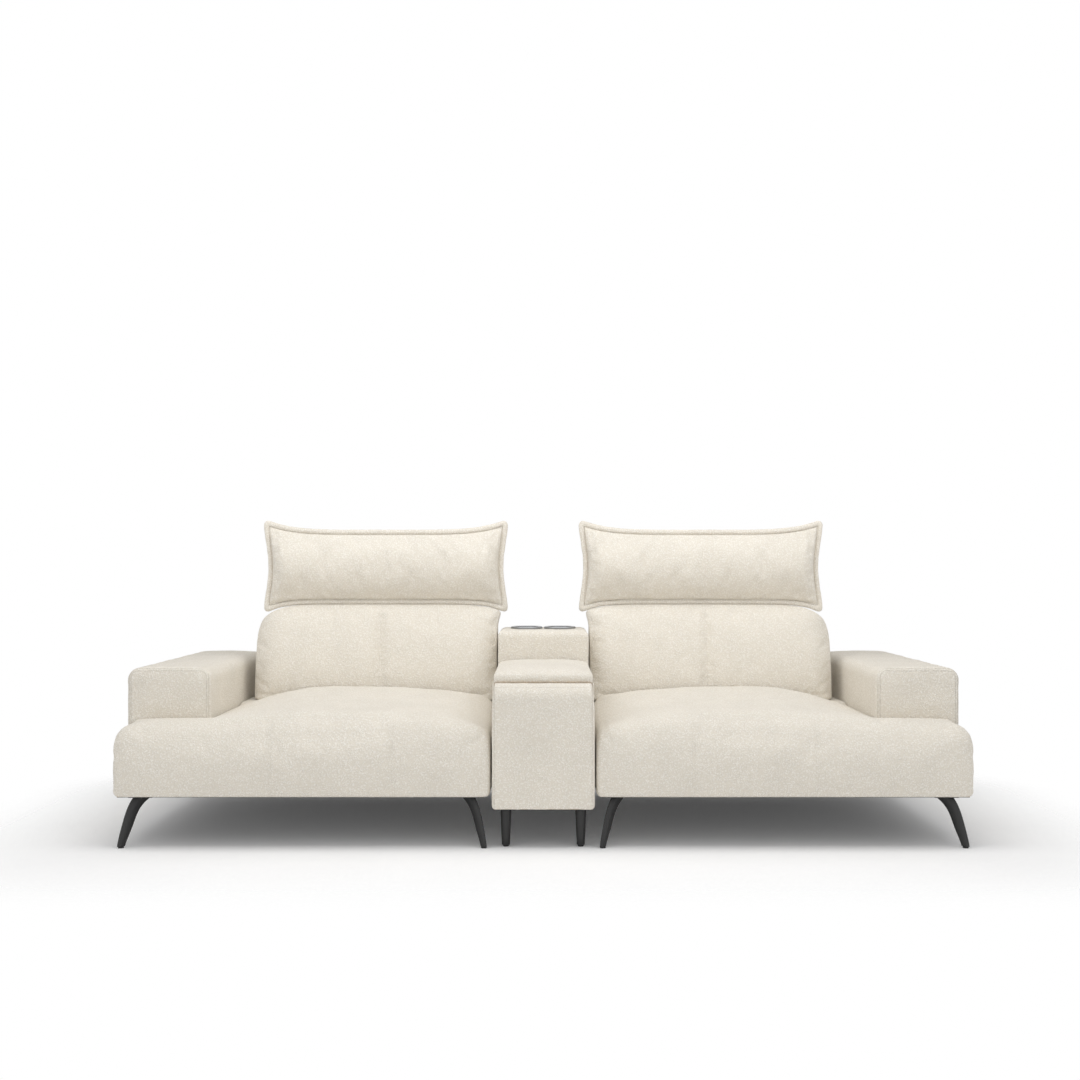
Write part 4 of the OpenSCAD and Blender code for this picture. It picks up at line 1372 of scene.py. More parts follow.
@dataclass
class BackCushion:
    """The plump back cushion of one unit, with rounded shoulders.

    Attributes:
        inner: Its side towards the console, along X.
        outer: Its side towards the arm.
        face: The foot of its front, along Y.
        rear: Its rear.
        foot: Height of its underside.
        height: Height of its top.
        shoulder: Fall of its outer upper corner.
        shoulder_w: Width of that corner.
        dip: Fall of its top under the ends of the headrest.
        dip_middle: The headrest's middle, along X.
        dip_half: Half the headrest's width.
        dip_curve: How late along the headrest the fall comes.
        lean: How far the front leans back.
        edge: Radius of its upper front edge.
        inner_side: Rounding of the inner side, seen from above.
        outer_side: Rounding of the outer side.
        inner_corner: Radius of its inner upper corner.
        reach: How far its inner side leans over the console.
        reach_low: Height where that starts.
        bulge: Swell of its front.
        seam: Place of its middle seam along X.
        seam_width: Half the width of the cloth that the seam pulls on.
        seam_hold: How fast the seam holds it.
        groove: Depth of the seam's groove.
        groove_width: Half the groove's width.
        ripple: Height and length of the small waves in its cloth.
        seed: Seed of those waves.
        voxel: Size of its skin's quads.
        stuffing: How its cover swells.
    """

    inner: float = 0.169
    outer: float = 1.058
    face: float = 0.0765
    rear: float = 0.2995
    foot: float = 0.4005
    height: float = 0.7495
    shoulder: float = 0.105
    shoulder_w: float = 0.044
    dip: float = 0.038
    dip_middle: float = 0.584
    dip_half: float = 0.436
    dip_curve: float = 8.0
    lean: float = 0.071
    edge: float = 0.048
    inner_side: float = 0.036
    outer_side: float = 0.080
    inner_corner: float = 0.012
    reach: float = 0.018
    reach_low: float = 0.660
    bulge: float = 0.010
    seam: float = 0.596
    seam_width: float = 0.010
    seam_hold: float = 0.5
    groove: float = 0.0035
    groove_width: float = 0.009
    ripple: tuple = ((0.0008, 0.10), (0.0004, 0.035))
    seed: int = 12
    voxel: float = 0.009
    stuffing: Stuffing = Stuffing(pressure=4.5, slack=0.02, reach=0.024, sink=0.006, bending=0.4)

    def ring(self, x: float) -> np.ndarray:
        """One closed section across the cushion at a place along X.

        Args:
            x: The place.

        Returns:
            The section's points, one a row.
        """
        corner = 1 - float(bow((self.outer - x) / self.shoulder_w))
        dip = self.dip * min(1.0, abs(x - self.dip_middle) / self.dip_half) ** self.dip_curve
        inside, outside = drawn_in(x - self.inner, self.inner_side), drawn_in(self.outer - x, self.outer_side)
        draw = float(max(inside, outside))
        z0, z1, r = self.foot, self.height - dip - self.shoulder * corner, self.edge
        z1 -= float(drawn_in(x - self.inner, self.inner_corner))
        share = 1 - corner / 2
        s = np.linspace(0, 1, 25)
        slope = self.lean / (self.height - z0 - r)
        z = z0 + s * (z1 - z0 - r)
        front = np.stack([self.face + slope * (z - z0) * share + draw + self.bulge * (2 * s - 1) ** 2, z], 1)
        turn = quarter(9)
        y0 = front[-1, 0]
        curl = np.stack([y0 + r * (1 - np.cos(turn)), z1 - r + r * np.sin(turn)], 1)
        y1 = self.rear - draw * 0.8
        flat = np.array([curl[-1], [y1 - r / 2 + draw * 0.2, z1 - r / 8], [y1, z1 - r]])
        rear, sole = [[y1, z1 - r], [y1, z0]], [[y1, z0], front[0]]
        return section([(front, 30), (curl, 10), (flat, 12), (rear, 28), (sole, 22)], x, 0)

    def held(self, points: np.ndarray, normals: np.ndarray) -> np.ndarray:
        """Where the cover is fast: behind, below and at its seams.

        Args:
            points: The cover's points, one a row.
            normals: Its normals there.

        Returns:
            For each point 1 where it is fast, and 0 where it is loose.
        """
        x, y, z = points.T
        front = ease((-normals[:, 1] - 0.1) / 0.5) * ease((0.24 - y) / 0.04)
        over = ease((normals[:, 2] - 0.4) / 0.3) * ease((z - 0.6) / 0.03) * 0.15
        loose = np.maximum(front, over) * ease((z - self.foot) / 0.03)
        return 1 - loose * (1 - self.seam_hold * np.exp(-(((x - self.seam) / self.seam_width) ** 2)))

    def build(self) -> bpy.types.Object:
        """Builds the right unit's back cushion.

        Returns:
            The new piece.
        """
        across = stations(self.inner, self.outer, self.outer_side, 0.012)
        piece = loft("right_back_pad", np.array([self.ring(float(x)) for x in across]))
        remeshed(piece, self.voxel, 2)
        self.stuffing.swell(piece, self.held(places(piece), outward(piece)))
        refined(piece)
        points, normals = places(piece), outward(piece)
        x = points[:, 0]
        front = ease((-normals[:, 1] - 0.1) / 0.5)
        dip = self.groove * np.exp(-(((x - self.seam) / self.groove_width) ** 2))
        loose = 1 - self.held(points, normals)
        shift = loose * ripples(points, self.seed, self.ripple) - front * dip
        points = points + normals * shift[:, None]
        share = ease((points[:, 2] - self.reach_low) / (self.height - self.reach_low))
        points[:, 0] -= self.reach * share * (1 - ease((x - self.inner) / self.outer_side))
        put(piece, points)
        return piece


@dataclass
class HeadPillow:
    """The headrest of one unit: a flanged pillow with eared corners.

    Attributes:
        middle: Its middle, along X.
        depth_y: The plane of its flange, along Y.
        half: Half its width.
        low: Height of its lower edge at the middle.
        height: Height of the pillow at the middle.
        ear: How far its corners stand out sideways.
        ear_rise: Rise of its upper corners.
        ear_drop: Fall of its lower corners.
        top_curve: How late along the upper edge the rise comes.
        low_curve: How late along the lower edge the fall comes.
        flange: Width of the flange.
        flange_t: Half the thickness of its roll.
        groove: Half the thickness of the seam inside it.
        thick: Thickness of the pillow.
        reach: Length over which its ends fill out.
        corner: Radius of the flange's corners.
        pucker: Height of the puckers along the seam.
        pucker_width: How far they reach into the pillow.
        ripple: Height and length of the small waves in its cloth.
        edge_ripple: Height of the waves in the flange.
        seed: Seed of the waves.
        near: Distances from the edge where its points lie close together.
        stuffing: How its cover swells.
    """

    middle: float = 0.584
    depth_y: float = 0.215
    half: float = 0.436
    low: float = 0.747
    height: float = 0.278
    ear: float = 0.018
    ear_rise: float = 0.042
    ear_drop: float = 0.038
    top_curve: float = 5.0
    low_curve: float = 8.0
    flange: float = 0.019
    flange_t: float = 0.0085
    groove: float = 0.0016
    thick: float = 0.130
    reach: float = 0.055
    corner: float = 0.024
    pucker: float = 0.0022
    pucker_width: float = 0.022
    ripple: tuple = ((0.0010, 0.11), (0.0005, 0.04))
    edge_ripple: float = 0.0005
    seed: int = 21
    near: tuple = (
        0, 0.0009, 0.0026, 0.0048, 0.0074, 0.0104, 0.0130, 0.0154, 0.0174, 0.0190, 0.0208, 0.0236,
        0.0275, 0.0330, 0.0400, 0.0490, 0.0600, 0.0730,
    )
    stuffing: Stuffing = Stuffing(pressure=3.5, slack=0.03, reach=0.016, sink=0.004, bending=0.25)

    def inward(self, full: float) -> np.ndarray:
        """Distances from an edge to the middle, close together near the edge.

        Args:
            full: Distance from this edge to the other.

        Returns:
            The distances in order.
        """
        last = self.near[-1]
        steps = max(2, int((full / 2 - last) / 0.011))
        return np.concatenate([self.near, np.linspace(last, full / 2, steps + 1)[1:]])

    def thickness(self, du: np.ndarray, dv: np.ndarray) -> np.ndarray:
        """Half the pillow's thickness.

        Args:
            du: Distances from a side.
            dv: Distances from the top or the foot.

        Returns:
            Half the thickness at each of them.
        """
        d = np.minimum(du, dv)
        roll = self.flange_t * np.sqrt(np.clip(1 - ((d - self.flange / 2) / (self.flange / 2)) ** 2, 0, 1))
        k = np.clip((dv - self.flange) / (self.height - 2 * self.flange), 0, 0.5)
        plump = np.sin(math.pi * k) ** 0.55
        body = (self.thick / 2 - self.groove) * bow((du - self.flange) / self.reach) * plump
        edge, sheet = np.where(d < self.flange, roll, 0), np.where(d > self.flange * 0.8, self.groove, 0)
        return np.maximum(edge, sheet) + np.where(d >= self.flange, body, 0)

    def skin(self) -> bpy.types.Object:
        """The closed skin of the pillow before it swells.

        Returns:
            The new piece.
        """
        us, vs = self.inward(2 * self.half), self.inward(self.height)
        s = np.concatenate([-1 + us / self.half, (1 - us[::-1] / self.half)[1:]])
        t = np.concatenate([vs, (self.height - vs[::-1])[1:]])
        n, m = len(s), len(t)
        ss, tt = np.meshgrid(s, t, indexing="ij")
        du, dv = (1 - np.abs(ss)) * self.half, np.minimum(tt, self.height - tt)
        half = self.thickness(du, dv)
        half[0, :] = half[-1, :] = 0
        half[:, 0] = half[:, -1] = 0
        a, b = np.maximum(self.corner - du, 0), np.maximum(self.corner - dv, 0)
        share = 1 - np.maximum(a, b) / np.maximum(np.hypot(a, b), 1e-9)
        ss = np.sign(ss) * (np.abs(ss) - share * a / self.half)
        tt = tt + np.where(tt < self.height / 2, share * b, -share * b)
        low = self.low - self.ear_drop * np.abs(ss) ** self.low_curve
        high = self.low + self.height + self.ear_rise * np.abs(ss) ** self.top_curve
        z = low + (high - low) * tt / self.height
        v = (z - self.low - self.height / 2) / (self.height / 2 + self.ear_rise)
        x = self.middle + ss * (self.half + self.ear * np.sin(math.pi / 2 * v) ** 2)
        front = np.stack([x, self.depth_y - half, z], -1).reshape(-1, 3)
        back = np.stack([x, self.depth_y + half, z], -1).reshape(-1, 3)
        i, j = np.meshgrid(np.arange(n - 1), np.arange(m - 1), indexing="ij")
        a = (i * m + j).ravel()
        one = np.stack([a, a + m, a + m + 1, a + 1], 1)
        faces = np.concatenate([one, one[:, ::-1] + n * m]).tolist()
        return welded(add_mesh("right_headrest", np.concatenate([front, back]), faces), FINE_WELD)

    def build(self) -> bpy.types.Object:
        """Builds the right unit's headrest.

        Returns:
            The new piece.
        """
        piece = self.skin()
        inset = self.edge_distance(places(piece))
        self.stuffing.swell(piece, 1 - ease((inset - self.flange - 0.002) / 0.02))
        refined(piece)
        points, normals = places(piece), outward(piece)
        inset = self.edge_distance(points)
        within = inset - self.flange
        pucker = self.pucker * ease(within / 0.006) * np.exp(-(within / self.pucker_width))
        shift = pucker * wobble(points * np.array([1, 0.2, 1]), 0.028, self.seed)
        shift += ease(within / 0.03) * ripples(points, self.seed + 1, self.ripple)
        shift += self.edge_ripple * wobble(points, 0.03, self.seed + 3) * (1 - ease((inset - 0.02) / 0.01))
        put(piece, points + normals * shift[:, None])
        mark = piece.data.attributes.new("edge", "FLOAT", "POINT")
        mark.data.foreach_set("value", inset.astype(np.float32))
        return piece

    def edge_distance(self, points: np.ndarray) -> np.ndarray:
        """Distance of each point in from the pillow's outline.

        Args:
            points: Points, one a row.

        Returns:
            The distance of each.
        """
        x, _, z = points.T
        v = (z - self.low - self.height / 2) / (self.height / 2 + self.ear_rise)
        s = np.abs((x - self.middle) / (self.half + self.ear * np.sin(math.pi / 2 * v) ** 2))
        low = self.low - self.ear_drop * s**self.low_curve
        high = self.low + self.height + self.ear_rise * s**self.top_curve
        du, dv = (1 - s) * self.half, np.minimum(z - low, high - z)
        a, b = np.maximum(self.corner - du, 0), np.maximum(self.corner - dv, 0)
        return np.where((a > 0) & (b > 0), self.corner - np.hypot(a, b), np.minimum(du, dv))


# Upholstered panels that keep the shape of their CAD node


@dataclass(frozen=True)
class PaddedPanel:
    """A panel covered in cloth over thin padding.

    Attributes:
        node: The CAD node that it stands for.
        name: Name of the new piece.
        voxel: Size of its skin's quads.
        smoothing: Passes that round its edges.
        puff: Swell of the padding at the middle of its broad side.
        face: The outward way of that side.
        ripple: Height and length of the small waves in its cloth.
        seed: Seed of those waves.
    """

    node: str
    name: str
    voxel: float = 0.005
    smoothing: int = 3
    puff: float = 0.0
    face: tuple = (0.0, -1.0, 0.0)
    ripple: tuple = ((0.0005, 0.10), (0.0003, 0.035))
    seed: int = 31

    def build(self, frame: dict) -> bpy.types.Object:
        """Builds the panel.

        Args:
            frame: The loaded frame.

        Returns:
            The new piece.
        """
        low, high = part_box(self.node)
        piece = remeshed(from_node(frame, self.node, self.name), self.voxel, self.smoothing)
        points, normals = places(piece), outward(piece)
        toward = ease((normals @ np.array(self.face) - 0.6) / 0.3)
        swell = np.ones(len(points))
        for axis in range(3):
            if abs(self.face[axis]) < 0.5:
                share = (points[:, axis] - low[axis]) / (high[axis] - low[axis])
                swell *= ease(share / 0.35) * ease((1 - share) / 0.35)
        shift = self.puff * toward * swell + ripples(points, self.seed, self.ripple)
        put(piece, points + normals * shift[:, None])
        return piece


@dataclass(frozen=True)
class FrontPanel(PaddedPanel):
    """The console's front, plump with rounded corners and drawn in at its top.

    Attributes:
        corner: Radius of its lower corners.
        edge: Radius of its front's upright edges.
        waist: How far its sides draw in at the top.
        waist_height: Height over which they do.
        lift: Rise of its upper rear edge.
    """

    corner: float = 0.014
    edge: float = 0.010
    waist: float = 0.007
    waist_height: float = 0.09
    lift: float = 0.0022

    def build(self, frame: dict) -> bpy.types.Object:
        """Builds the panel, rounded at its sides and feet.

        Args:
            frame: The loaded frame.

        Returns:
            The new piece.
        """
        low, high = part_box(self.node)
        piece = super().build(frame)
        points = places(piece)
        x, y, z = points.T
        half = high[0]
        aside = ease((np.abs(x) / half - 0.6) / 0.4)
        inset = drawn_in(np.maximum(z - low[2], 0), self.corner)
        inset += self.waist * ease((z - high[2] + self.waist_height) / self.waist_height)
        ahead = 1 - ease((y - low[1]) / 0.03)
        points[:, 0] = x - np.sign(x) * inset * aside
        points[:, 1] = y + ahead * drawn_in(np.maximum(half - np.abs(x), 0), self.edge)
        upper = ease((z - high[2] + 0.010) / 0.008) * ease((y - high[1] + 0.030) / 0.020)
        points[:, 2] = z + self.lift * upper
        put(piece, points)
        return piece


@dataclass(frozen=True)
class CupBlock(PaddedPanel):
    """The block round the cups, whose top falls away behind them.

    Attributes:
        fall: How far its top falls.
        crest: Where the fall starts, along Y.
    """

    fall: float = 0.018
    crest: float = 0.270

    def build(self, frame: dict) -> bpy.types.Object:
        """Builds the block with its sloping rear.

        Args:
            frame: The loaded frame.

        Returns:
            The new piece.
        """
        piece = super().build(frame)
        points = places(piece)
        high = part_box(self.node)[1]
        share = ease((points[:, 2] - high[2] + 0.06) / 0.04)
        points[:, 2] -= self.fall * share * ease((points[:, 1] - self.crest) / (high[1] - self.crest))
        put(piece, points)
        return piece


@dataclass(frozen=True)
class OuterBack(PaddedPanel):
    """The outer back, which stays out of sight behind the cushion from the front.

    Attributes:
        trim: How far its sides draw in at the top.
        trim_from: Height where they start to.
        trim_over: Height over which they do.
        drop: How far its top is lowered.
    """

    trim: float = 0.010
    trim_from: float = 0.50
    trim_over: float = 0.12
    drop: float = 0.006

    def build(self, frame: dict) -> bpy.types.Object:
        """Builds the panel, drawn in towards its top.

        Args:
            frame: The loaded frame.

        Returns:
            The new piece.
        """
        piece = super().build(frame)
        points = places(piece)
        low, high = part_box(self.node)
        aside = points[:, 0] - (low[0] + high[0]) / 2
        share = ease((points[:, 2] - self.trim_from) / self.trim_over)
        points[:, 0] -= self.trim * share * np.sign(aside) * ease(np.abs(aside) / 0.3)
        points[:, 2] -= self.drop * share
        put(piece, points)
        return piece


# The console


@dataclass
class LidPad:
    """The padded lid of the console.

    Attributes:
        half: Half its width.
        front: Its front, along Y.
        rear: Its rear.
        base: Height of its underside.
        height: Its thickness at the crown.
        rounding: Radius of its upper edges.
        crown: Rise of its middle.
        board_inset: How far the board lies in from its edges.
        board_depth: Depth of the board's space.
        ripple: Height and length of the small waves in its cloth.
        seed: Seed of those waves.
        voxel: Size of its skin's quads.
        stuffing: How its cover swells.
    """

    half: float = 0.160
    front: float = -0.461
    rear: float = 0.045
    base: float = 0.516
    height: float = 0.042
    rounding: float = 0.018
    crown: float = 0.006
    board_inset: float = 0.0177
    board_depth: float = 0.0123
    ripple: tuple = ((0.0006, 0.07), (0.0003, 0.03))
    seed: int = 41
    voxel: float = 0.006
    stuffing: Stuffing = Stuffing(pressure=4.0, slack=0.01, reach=0.008, sink=0.002, bending=0.5)

    def ring(self, y: float) -> np.ndarray:
        """One closed section across the lid at a place along Y.

        Args:
            y: The place.

        Returns:
            The section's points, one a row.
        """
        d = min(y - self.front, self.rear - y)
        draw = float(drawn_in(d, self.rounding))
        x1, r = self.half - draw / 2, self.rounding * 0.8
        z1 = self.base + self.height - self.crown - draw * 0.8
        v = (y - self.front) / (self.rear - self.front)
        rise = self.crown * max(0.0, math.sin(math.pi * v)) ** 0.7
        turn = quarter(7)
        s = np.linspace(-1, 1, 21)
        left = np.stack([-x1 + r * (1 - np.cos(turn)), z1 - r * (1 - np.sin(turn))], 1)
        over = np.stack([s * (x1 - r), z1 + rise * (1 - s**4)], 1)
        right = left[::-1] * np.array([-1, 1])
        parts = [
            ([[-x1, self.base], left[0]], 4), (left, 5), (over, 40), (right, 5),
            ([right[-1], [x1, self.base]], 4), ([[x1, self.base], [-x1, self.base]], 40),
        ]
        return section(parts, y, 1)

    def build(self) -> bpy.types.Object:
        """Builds the lid's pad.

        Returns:
            The new piece.
        """
        places_y = stations(self.front, self.rear, self.rounding, 0.010)
        piece = loft("console_lid_pad", np.array([self.ring(float(y)) for y in places_y]))
        x1, y0, y1 = self.half - self.board_inset, self.front + self.board_inset, self.rear - self.board_inset
        cut_box(piece, (-x1, y0, 0.5), (x1, y1, self.base + self.board_depth))
        remeshed(piece, self.voxel, 2)
        points, normals = places(piece), outward(piece)
        held = 1 - facing(normals[:, 2]) * ease((points[:, 2] - self.base - 0.02) / 0.008)
        self.stuffing.swell(piece, held)
        refined(piece)
        points, normals = places(piece), outward(piece)
        above = (1 - held.min()) * ease((points[:, 2] - self.base - 0.01) / 0.01)
        shift = above * ripples(points, self.seed, self.ripple)
        put(piece, points + normals * shift[:, None])
        return piece


def lathe(name: str, line: np.ndarray, x: float, y: float, z: float, count: int = 96) -> bpy.types.Object:
    """A turned piece on an upright axis.

    Args:
        name: Name of the new piece.
        line: Its closed outline as radius and height, each point once.
        x: Place of the axis along X.
        y: Place of the axis along Y.
        z: Height of the outline's zero.
        count: Steps round the axis.

    Returns:
        The new piece.
    """
    turn = np.linspace(0, 2 * math.pi, count, endpoint=False)
    n = len(line)
    across, deep = np.outer(np.cos(turn), line[:, 0]), np.outer(np.sin(turn), line[:, 0])
    points = np.stack([x + across, y + deep, z + np.tile(line[:, 1], (count, 1))], -1).reshape(-1, 3)
    faces = []
    for i in range(count):
        k = (i + 1) % count
        for j in range(n):
            m = (j + 1) % n
            faces.append([i * n + j, k * n + j, k * n + m, i * n + m])
    return welded(add_mesh(name, points, faces), FINE_WELD)


@dataclass
class SteelCup:
    """A spun steel cup with a rolled flange.

    Attributes:
        bore: Radius of its inside.
        depth: Depth below the block's top.
        wall: Thickness of its wall.
        flange: Radius of its flange.
        lip: Height of the lip above the block's top.
        roll: Radius of the flange's edge.
        bend: Radius of the bend at its floor.
        mouth: Radius of the bend at its mouth.
        x: Distance of its axis from the sofa's middle.
        y: Place of its axis along Y.
        top: Height of the block's top.
    """

    bore: float = 0.044
    depth: float = 0.080
    wall: float = 0.0012
    flange: float = 0.0585
    lip: float = 0.008
    roll: float = 0.0045
    bend: float = 0.006
    mouth: float = 0.0022
    x: float = 0.061
    y: float = 0.177
    top: float = 0.660

    def build(self, side: Side) -> bpy.types.Object:
        """Builds the cup on one side of the console.

        Args:
            side: The side.

        Returns:
            The new piece.
        """
        r, t, b, m, f, low = self.bore, self.wall, self.bend, self.mouth, self.roll, -self.depth
        turn = quarter(7)
        bowl = [[r - b + b * np.sin(a), low + b * (1 - np.cos(a))] for a in turn]
        shell = [[r + t - b * (1 - np.sin(a)), low - t + b * (1 - np.cos(a))] for a in turn[::-1]]
        mouth = [[r + m * (1 - np.cos(a)), self.lip - m + m * np.sin(a)] for a in turn]
        rim = [[self.flange - f * (1 - np.sin(a)), self.lip - f * (1 - np.cos(a))] for a in turn]
        dish = [[0.018, low], [0.020, low + 0.0006], [0.026, low + 0.0006], [0.028, low]]
        line = [[0, low], *dish, *bowl, *mouth, [r + 0.006, self.lip], [r + 0.007, self.lip - 0.0004], *rim]
        line += [[self.flange, 0.0], [r + t, 0], *shell, [0, low - t]]
        return lathe(f"{side.value}_cup", np.array(line), side.sign * self.x, self.y, self.top)


# Legs


def rounded(corners: np.ndarray, passes: int) -> np.ndarray:
    """Cuts the corners of a closed polygon round.

    Args:
        corners: Its corners, one a row.
        passes: How many times each corner is cut.

    Returns:
        The rounded polygon's corners.
    """
    for _ in range(passes):
        after = np.roll(corners, -1, axis=0)
        pairs = np.stack([corners * 0.8 + after * 0.2, corners * 0.2 + after * 0.8], 1)
        corners = pairs.reshape(-1, corners.shape[1])
    return corners


def plate(x: float, y: float, low: float, high: float, width: float) -> tuple:
    """Points and faces of a square mounting plate with eased edges.

    Args:
        x: Middle of the plate along X.
        y: Middle of the plate along Y.
        low: Its underside.
        high: Its upper side.
        width: Its side.

    Returns:
        The points and the faces.
    """
    h, e = width / 2, 0.0008
    square = np.array([[-1, -1], [1, -1], [1, 1], [-1, 1]])
    rows = [(h - e, low), (h, low + e), (h, high - e), (h - e, high)]
    points = np.concatenate([np.column_stack([square * w + (x, y), np.full(4, z)]) for w, z in rows])
    faces = [[3, 2, 1, 0], [12, 13, 14, 15]]
    for i in range(3):
        faces += [[i * 4 + j, i * 4 + (j + 1) % 4, i * 4 + 4 + (j + 1) % 4, i * 4 + 4 + j] for j in range(4)]
    return points, faces


@dataclass
class BladeLeg:
    """A curved black blade that splays on the diagonal under a seat unit.

    Attributes:
        keys: Rows of height, place, width and thickness up the blade, as shares of the whole.
        splay: How far its foot stands out along X and Y.
        width: Its width at the top.
        thickness: Its thickness at the top.
        foot: Height of its foot.
        top: Height of its top.
        plate_w: Side of its mounting plate.
        plate_t: Thickness of the plate.
        inner: Place of the inner legs' plates along X.
        outer: Place of the outer legs' plates along X.
        front: Place of the front legs' plates along Y.
        rear: Place of the rear legs' plates along Y.
    """

    keys: tuple = (
        (0, 0, 0.38, 0.7), (0.3, 0.19, 0.5, 0.8), (0.56, 0.37, 0.57, 0.9),
        (0.76, 0.55, 0.63, 0.95), (0.91, 0.78, 0.82, 1), (1, 1, 1, 1),
    )
    splay: float = 0.055
    width: float = 0.080
    thickness: float = 0.020
    foot: float = 0.005
    top: float = 0.155
    plate_w: float = 0.078
    plate_t: float = 0.003
    inner: float = 0.243
    outer: float = 1.279
    front: float = -0.450
    rear: float = 0.450

    def build(self, side: Side, outer: bool, rear: bool) -> bpy.types.Object:
        """One leg of one unit.

        Args:
            side: The unit it stands under.
            outer: True for the arm's end.
            rear: True for the back.

        Returns:
            The leg's piece.
        """
        keys = np.array(self.keys)
        rise = np.concatenate([np.linspace(0, 0.7, 16)[:-1], np.linspace(0.7, 1, 14)])
        curve = [np.polynomial.Polynomial.fit(keys[:, 0], keys[:, k], 4) for k in (1, 2, 3)]
        rings = []
        for c in rise:
            d = self.splay * (float(curve[0](c)) - 1) * math.sqrt(2)
            w, t = self.width * float(curve[1](c)) / 2, self.thickness * float(curve[2](c)) / 2
            near, far = w / 3, -w * 0.7
            shape = [[w, 0], [near, -t], [far, -t * 0.6], [-w, 0], [far, t * 0.6], [near, t]]
            ring = rounded(np.array(shape), 2)
            ring[:, 0] -= d
            rings.append(np.column_stack([ring, np.full(len(ring), self.foot + (self.top - self.foot) * c)]))
        rings = np.array(rings)
        turned = (rings[..., :2] @ np.array([[1, 1], [-1, 1]])) / math.sqrt(2)
        along_x, along_y = (1 if outer else -1), (1 if rear else -1)
        x, y = (self.outer if outer else self.inner), (self.rear if rear else self.front)
        name = f"{side.value}_{'rear' if rear else 'front'}_{'outer' if outer else 'inner'}_blade"
        rings[..., 0] = side.sign * (x + along_x * turned[..., 0])
        rings[..., 1] = y + along_y * turned[..., 1]
        blade = loft("blade", rings)
        points, faces = plate(side.sign * x, y, self.top, self.top + self.plate_t, self.plate_w)
        return joined(name, blade, points, faces)


def joined(name: str, shaft: bpy.types.Object, points: np.ndarray, faces: list) -> bpy.types.Object:
    """A leg's shaft and its plate as one piece.

    Args:
        name: Name of the new piece.
        shaft: The shaft, which is used up.
        points: Points of the plate.
        faces: Faces of the plate.

    Returns:
        The new piece.
    """
    both = np.concatenate([places(shaft), points])
    start = len(shaft.data.vertices)
    skin = [list(f.vertices) for f in shaft.data.polygons] + [[start + i for i in face] for face in faces]
    bpy.data.objects.remove(shaft)
    piece = add_mesh(name, both, skin)
    piece.data.set_sharp_from_angle(angle=SHARP_ANGLE)
    return piece


@dataclass
class PegLeg:
    """A tapered black peg under the console.

    Attributes:
        top_r: Radius at its top.
        foot_r: Radius at its foot.
        foot: Height of its foot.
        under: Height where its taper ends.
        top: Height of its top.
        edge: Size of the eased edge at its foot.
        plate_z: Height of its mounting plate's upper side.
        plate_t: Thickness of the plate.
        plate_w: Side of the plate.
        x: Distance of its axis from the sofa's middle.
        y: Distance of its axis from the middle, front or rear.
    """

    top_r: float = 0.0175
    foot_r: float = 0.013
    foot: float = 0.005
    under: float = 0.118
    top: float = 0.1195
    edge: float = 0.0012
    plate_z: float = 0.1225
    plate_t: float = 0.003
    plate_w: float = 0.066
    x: float = 0.119
    y: float = 0.477

    def build(self, side: Side, rear: bool) -> bpy.types.Object:
        """Builds one peg with its plate.

        Args:
            side: The side of the console.
            rear: True for the back.

        Returns:
            The new piece.
        """
        r, low, e = self.foot_r, self.foot, self.edge
        toe = [[0, low], [r - e, low], [r - e * 0.3, low + e * 0.3], [r, low + e]]
        tall = self.under - low - e
        taper = [[r + (self.top_r - r) * s, low + e + tall * s] for s in (0.25, 0.5, 0.75, 1)]
        line = np.array([*toe, *taper, [self.top_r, self.top], [0, self.top]])
        x, y = side.sign * self.x, (self.y if rear else -self.y)
        shaft = lathe("peg", line, x, y, 0.0, 48)
        points, faces = plate(x, y, self.plate_z - self.plate_t, self.plate_z, self.plate_w)
        return joined(f"console_{'rear' if rear else 'front'}_{side.value}_peg", shaft, points, faces)


# The studio


